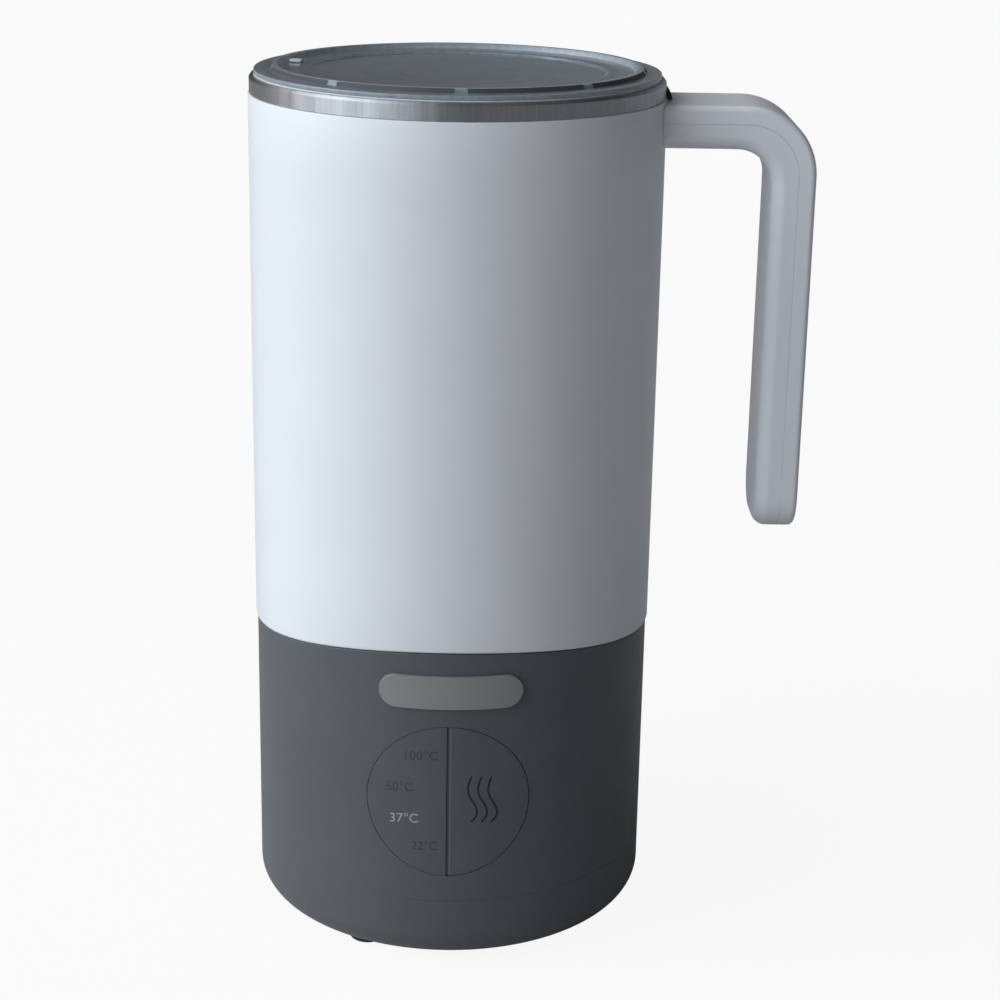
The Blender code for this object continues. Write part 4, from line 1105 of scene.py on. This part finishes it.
def round_handle(thing, outer, inner):
    """Rounds the long edges, a little on the outer side and more on the inner one."""
    mesh = thing.data
    weights = mesh.attributes.new("bevel_weight_edge", "FLOAT", "EDGE")
    bm = bmesh.new()
    bm.from_mesh(mesh)
    sharp = [len(e.link_faces) == 2 and e.calc_face_angle() > math.radians(60) for e in bm.edges]
    bm.free()
    for edge in mesh.edges:
        if not sharp[edge.index]:
            continue
        middle = (mesh.vertices[edge.vertices[0]].co + mesh.vertices[edge.vertices[1]].co) / 2
        x, z = middle.x - AXIS - BEND_X, middle.z - BEND_Z
        depth = BEND - (math.hypot(x, z) if x > 0 and z > 0 else max(x, z))
        weights.data[edge.index].value = outer / inner if depth < HANDLE_THICK / 2 else 1.0
    bevel = thing.modifiers.new("Bevel", "BEVEL")
    bevel.width = inner
    bevel.segments = 8
    bevel.limit_method = "WEIGHT"
    applied(thing)
    shade(thing.data)
    return thing


def clear_of_shell(gap, material):
    """A cutter that keeps a piece off the white shell."""
    return turned("clear", oblong(0, BODY_R + gap, mm(180), mm(240)), material, 360)


def handle():
    """Two halves with a fine line between them."""
    split = mm(4.5)
    far = mm(13.5)
    line = mm(0.025)
    below = HANDLE_TIP - mm(10)
    for name, node, cut in (
        ("grip_outer", "handle_outer", handle_outline(split - line, far, below)),
        ("grip_inner", "handle_inner", handle_outline(-far, split + line, below)),
    ):
        whole = handle_outline(0, HANDLE_THICK, HANDLE_TIP, mm(9))
        half = prism(name, whole, -mm(18), mm(18), WHITE)
        combine(half, handle_side(), operation="INTERSECT")
        round_handle(half, mm(1.5), mm(3.6))
        combine(half, prism("split", cut, mm(-20), mm(20), WHITE))
        combine(half, clear_of_shell(mm(0.05), WHITE))
        soften(half, mm(0.06), 1, 60)
        stand_in(half, node)


def rim_key():
    low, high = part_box("rim_key")
    root, right = mm(50), high.x - AXIS
    slope = [
        (root, low.z), (right, low.z), (right, low.z + mm(0.4)), (right - mm(0.7), high.z), (root, high.z),
    ]
    key = prism("key", slope, mm(-4), mm(4), BLACK)
    combine(key, clear_of_shell(mm(0.03), BLACK))
    stand_in(soften(key, mm(0.08), 2), "rim_key")


upper_shell()
rim()
inner_pot()
whisk()
lid()
lid_ribs()
lid_slot_shade()
lid_seal()
handle()
rim_key()


# ---------------------------------------------------------------- floor and light
ROOM_LIGHT = 0.035
OVERHEAD_LIGHT = 0.17
OVERHEAD_EDGE = (0.71, 0.91)    # height at which the overhead light starts and is full
# Each soft light: degrees to the left of the front, narrowness, strength, colour
SOFT_LIGHTS = (
    (68, 1.3, 3.5, (0.93, 1.00, 1.08)),
    (108, 1.5, 0.45, (1.10, 0.93, 0.75)),
    (205, 2.0, 0.18, (0.92, 1.00, 1.07)),
)


def floor():
    bm = bmesh.new()
    bmesh.ops.create_grid(bm, x_segments=8, y_segments=8, size=14)
    material, nodes, shader = blank("floor")
    cloud = nodes.spread(nodes.noise(nodes.place(), 2 / 3, 2.0), 0, 1)
    nodes.join(nodes.tint(cloud, (0.50, 0.50, 0.50), (0.52, 0.52, 0.52)), shader.inputs["Base Color"])
    shader.inputs["Roughness"].default_value = 0.9
    shader.inputs["Specular IOR Level"].default_value = 0.0
    glow = nodes.add("ShaderNodeEmission", Color=(1.0, 1.0, 1.0, 1), Strength=1.04)
    blend = nodes.add("ShaderNodeMixShader")
    seen = nodes.add("ShaderNodeLightPath").outputs["Is Camera Ray"]
    nodes.join(nodes.maths("MULTIPLY", seen, 0.88), blend.inputs[0])
    nodes.join(shader.outputs[0], blend.inputs[1])
    nodes.join(glow.outputs[0], blend.inputs[2])
    output = material.node_tree.nodes["Material Output"]
    nodes.join(blend.outputs[0], output.inputs["Surface"])
    from_bmesh("floor", bm, material)


def world():
    """A dim room with a long soft light on its left, cool in front and warm further back."""
    room = bpy.data.worlds.new("room")
    bpy.context.scene.world = room
    room.use_nodes = True
    nodes = Nodes(room.node_tree)
    dim = room.node_tree.nodes["Background"]
    x, y, z = nodes.split(nodes.add("ShaderNodeTexCoord").outputs["Generated"])
    azimuth = nodes.maths("ARCTAN2", x, nodes.maths("MULTIPLY", y, -1.0))
    overhead = nodes.spread(z, 0.0, 1.0, *OVERHEAD_EDGE)
    above = nodes.maths("MULTIPLY", overhead, OVERHEAD_LIGHT)
    nodes.join(nodes.maths("ADD", above, ROOM_LIGHT), dim.inputs["Strength"])
    dim.inputs["Color"].default_value = (1.0, 0.97, 0.92, 1)
    lit = dim.outputs[0]
    below_top = nodes.maths("SUBTRACT", 1.0, overhead)
    for centre, narrowness, power, colour in SOFT_LIGHTS:
        turn = nodes.maths("ADD", azimuth, math.radians(centre))
        away = nodes.maths("ABSOLUTE", nodes.maths("WRAP", turn, math.pi, -math.pi))
        lobe_angle = nodes.maths("MINIMUM", nodes.maths("MULTIPLY", away, narrowness), math.pi / 2)
        lobe = nodes.maths("MAXIMUM", nodes.maths("COSINE", lobe_angle), 0.0)
        glow = nodes.add("ShaderNodeBackground", Color=(*colour, 1))
        strength = nodes.maths("MULTIPLY", nodes.maths("MULTIPLY", lobe, lobe), power)
        nodes.join(nodes.maths("MULTIPLY", strength, below_top), glow.inputs["Strength"])
        total = nodes.add("ShaderNodeAddShader")
        nodes.join(lit, total.inputs[0])
        nodes.join(glow.outputs[0], total.inputs[1])
        lit = total.outputs[0]
    white = nodes.add("ShaderNodeBackground", Color=(1, 1, 1, 1), Strength=1.0)
    blend = nodes.add("ShaderNodeMixShader")
    nodes.join(nodes.add("ShaderNodeLightPath").outputs["Is Camera Ray"], blend.inputs[0])
    nodes.join(lit, blend.inputs[1])
    nodes.join(white.outputs[0], blend.inputs[2])
    nodes.join(blend.outputs[0], room.node_tree.nodes["World Output"].inputs["Surface"])


floor()
world()

bpy.context.scene.view_settings.view_transform = "Standard"
